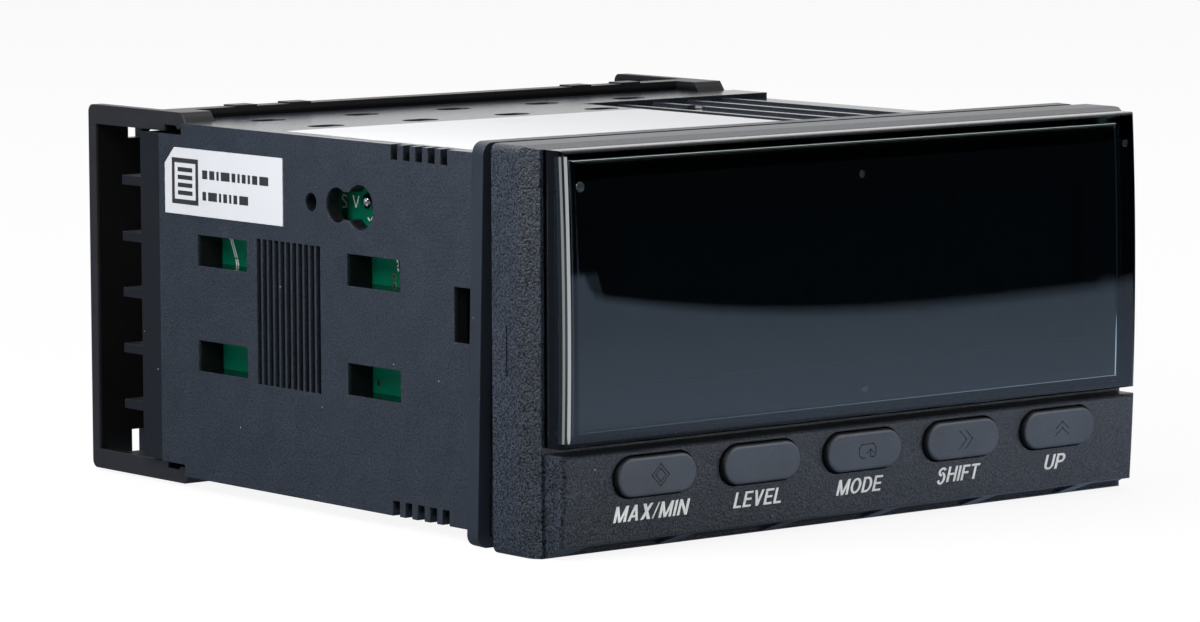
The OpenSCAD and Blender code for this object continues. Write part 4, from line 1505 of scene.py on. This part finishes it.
def lay_floor(scene, stage):
    """A wide floor at the bezel's foot, nearly white to the eye, which keeps the meter's shadow"""
    reach, level = 6.0, BEZEL_LOW.z
    white_share = 0.9
    mesh = bpy.data.meshes.new("floor")
    corners = [(x, y, level) for x, y in box_outline(-reach, -reach, reach, reach)]
    mesh.from_pydata(corners, [], [(0, 1, 2, 3)])
    floor = bpy.data.objects.new("floor", mesh)
    scene.collection.objects.link(floor)

    material = bpy.data.materials.new("floor_white")
    mesh.materials.append(material)
    material.use_nodes = True
    tree = material.node_tree
    tree.nodes.clear()
    out = tree.nodes.new("ShaderNodeOutputMaterial")
    diffuse = add(tree, "ShaderNodeBsdfDiffuse", Color=colour4(stage.floor_tone))
    glow = add(tree, "ShaderNodeEmission", Color=(1, 1, 1, 1), Strength=1.0)
    rays = tree.nodes.new("ShaderNodeLightPath").outputs
    share = maths(tree, "MULTIPLY", rays["Is Camera Ray"], white_share)
    seen = mix_shaders(tree, share, diffuse.outputs[0], glow.outputs[0])
    mirror = mirrored_floor(tree, stage.azimuth)
    final = mix_shaders(tree, rays["Is Glossy Ray"], seen, mirror)
    tree.links.new(final, out.inputs[0])


def studio_world(scene):
    """A world that is white to the eye, and in mirrors white behind the meter and dark before it"""
    plain_light, above_light = 0.45, 0.6
    dim_left, white = (0.2, 0.27, 0.36), (1.0, 1.0, 1.0)
    turn_start, turn_end = -0.35, 0.15      # where the world changes from front to rear and across
    world = bpy.data.worlds.new("studio")
    scene.world = world
    world.use_nodes = True
    tree = world.node_tree
    tree.nodes.clear()
    out = tree.nodes.new("ShaderNodeOutputWorld")
    rays = tree.nodes.new("ShaderNodeLightPath").outputs
    direction = separate(tree, "ShaderNodeTexCoord", "Generated").outputs

    rear = remap(tree, direction["Y"], turn_start, turn_end, 0.0, 1.0)
    above = remap(tree, direction["Z"], 0.45, 0.85, 0.0, above_light)
    to_right = remap(tree, direction["X"], turn_start, turn_end, 0.0, 1.0)
    mirrored = add(tree, "ShaderNodeBackground")
    tone = blend_colours(tree, to_right, dim_left, white)
    tree.links.new(tone, mirrored.inputs["Color"])
    tree.links.new(maths(tree, "MAXIMUM", rear, above), mirrored.inputs["Strength"])

    soft = add(
        tree, "ShaderNodeBackground", Color=(0.97, 0.985, 1.0, 1), Strength=plain_light
    )
    backdrop = add(tree, "ShaderNodeBackground", Color=colour4(white), Strength=1.0)
    lighting = mix_shaders(tree, rays["Is Glossy Ray"], soft.outputs[0], mirrored.outputs[0])
    final = mix_shaders(tree, rays["Is Camera Ray"], lighting, backdrop.outputs[0])
    tree.links.new(final, out.inputs[0])


def softbox(name, spot, target, width, height, power, lit=()):
    """A rectangular lamp aimed at a target, which lights all or only the listed objects"""
    light = bpy.data.lights.new(name, "AREA")
    light.shape = "RECTANGLE"
    light.size = width
    light.size_y = height
    light.energy = power
    lamp = bpy.data.objects.new(name, light)
    lamp.visible_camera = False
    bpy.context.scene.collection.objects.link(lamp)
    lamp.location = spot
    aim = Vector(target) - Vector(spot)
    lamp.rotation_euler = aim.to_track_quat("-Z", "Y").to_euler()
    if lit:
        receivers = bpy.data.collections.new(name + "_receivers")
        for piece in lit:
            receivers.objects.link(piece)
        lamp.light_linking.receiver_collection = receivers


def place_lamps():
    """Soft light from above and the left, and lamps for the bezel, the keys and the window"""
    middle = (0.0, 0.03, 0.0)
    nodes, objects = frame["nodes"], bpy.data.objects
    softbox("overhead_softbox", (0.1, 0.25, 0.9), middle, width=0.9, height=0.7, power=5.0)
    softbox("left_softbox", (-1.0, 0.1, 0.35), middle, width=0.5, height=0.7, power=0.8)
    bezel_side = (-0.046, 0.01, 0.0)
    softbox("near_softbox", (-0.15, 0.01, 0.1), bezel_side, width=0.08, height=0.08, power=0.25)

    # on the right, one for the keys and the words, and a low one for the bezel's front
    keys = [nodes[key + "_key"] for key in KEYS]
    words = [objects["legend_" + key] for key in KEYS]
    above, low = (0.34, -0.45, 0.25), (0.34, -0.45, 0.005)
    softbox("front_softbox", above, middle, width=0.3, height=0.2, power=2.1, lit=keys + words)
    bezel = [nodes["front_bezel"]]
    softbox("low_softbox", low, (0, 0, 0), width=0.3, height=0.03, power=0.55, lit=bezel)

    # two strip lights close to the window's left corner, which nothing else mirrors
    away, strip_h = 70 * MM, 64 * MM
    corner = Vector((WINDOW_LOW.x, WINDOW_LOW.y + 1 * MM, 8 * MM))
    polished = [objects["window_corner"]]
    for name, turn, width, power in (
        ("front_strip", math.radians(-12), 56 * MM, 0.1),
        ("side_strip", math.radians(60), 44 * MM, 0.045),
    ):
        spot = corner - away * Vector((math.sin(turn), math.cos(turn), 0))
        softbox(name, spot, corner, width, strip_h, power, lit=polished)


def place_camera(scene, stage):
    """A long lens turned round the meter's middle, and a little off it"""
    middle = Vector((0, 30 * MM, 0))
    off_side, off_up = 6.045 * MM, 1.501 * MM
    level = math.cos(stage.elevation)
    back = Vector(
        (
            math.sin(stage.azimuth) * level,
            -math.cos(stage.azimuth) * level,
            math.sin(stage.elevation),
        )
    )
    right = (-back).cross(Vector((0, 0, 1))).normalized()
    up = right.cross(-back)
    cosine, sine = math.cos(stage.roll), math.sin(stage.roll)
    side = right * cosine + up * sine
    over = up * cosine - right * sine
    target = middle - side * off_side - over * off_up
    lens = bpy.data.cameras.new("camera")
    lens.lens = stage.lens
    lens.sensor_width = 36.0
    lens.clip_start = 0.01
    camera = bpy.data.objects.new("camera", lens)
    scene.collection.objects.link(camera)
    turn = Matrix((side, over, back)).transposed()
    camera.matrix_world = Matrix.Translation(target + back * stage.distance) @ turn.to_4x4()
    scene.camera = camera


class PANELMETER_OT_stage(bpy.types.Operator):
    """Set up the floor, the world, the lamps and the camera"""

    bl_idname = "panelmeter.stage"
    bl_label = "Set Up Stage"

    def execute(self, context):
        scene = context.scene
        stage = settings("meter_stage")
        scene.view_settings.view_transform = "Standard"
        lay_floor(scene, stage)
        studio_world(scene)
        place_lamps()
        place_camera(scene, stage)
        return {"FINISHED"}


# ---------- Sidebar and registration ----------


OPERATORS = (
    PANELMETER_OT_mouldings,
    PANELMETER_OT_keys,
    PANELMETER_OT_gasket,
    PANELMETER_OT_window,
    PANELMETER_OT_display,
    PANELMETER_OT_boards,
    PANELMETER_OT_metals,
    PANELMETER_OT_legends,
    PANELMETER_OT_icons,
    PANELMETER_OT_labels,
    PANELMETER_OT_board_marks,
    PANELMETER_OT_pips,
    PANELMETER_OT_stage,
)


class PANELMETER_PT_sidebar(bpy.types.Panel):
    """Lists the meter's pieces and its stage"""

    bl_idname = "PANELMETER_PT_sidebar"
    bl_label = "Panel Meter"
    bl_space_type = "VIEW_3D"
    bl_region_type = "UI"
    bl_category = "Panel Meter"

    def draw(self, context):
        for operator in OPERATORS:
            self.layout.operator(operator.bl_idname)
        for name, group in SETTINGS.items():
            column = self.layout.column()
            for prop in group.__annotations__:
                column.prop(getattr(context.scene, name), prop)


CLASSES = tuple(SETTINGS.values()) + OPERATORS + (PANELMETER_PT_sidebar,)


def register():
    """Registers the classes and adds their settings to the scene"""
    for cls in CLASSES:
        bpy.utils.register_class(cls)
    for name, group in SETTINGS.items():
        setattr(bpy.types.Scene, name, bpy.props.PointerProperty(type=group))


def unregister():
    """Takes the settings and the classes away again"""
    for name in SETTINGS:
        delattr(bpy.types.Scene, name)
    for cls in reversed(CLASSES):
        bpy.utils.unregister_class(cls)


def main():
    """Builds every piece and the stage"""
    register()
    for operator in OPERATORS:
        family, name = operator.bl_idname.split(".")
        getattr(getattr(bpy.ops, family), name)()


if __name__ == "__main__":
    main()
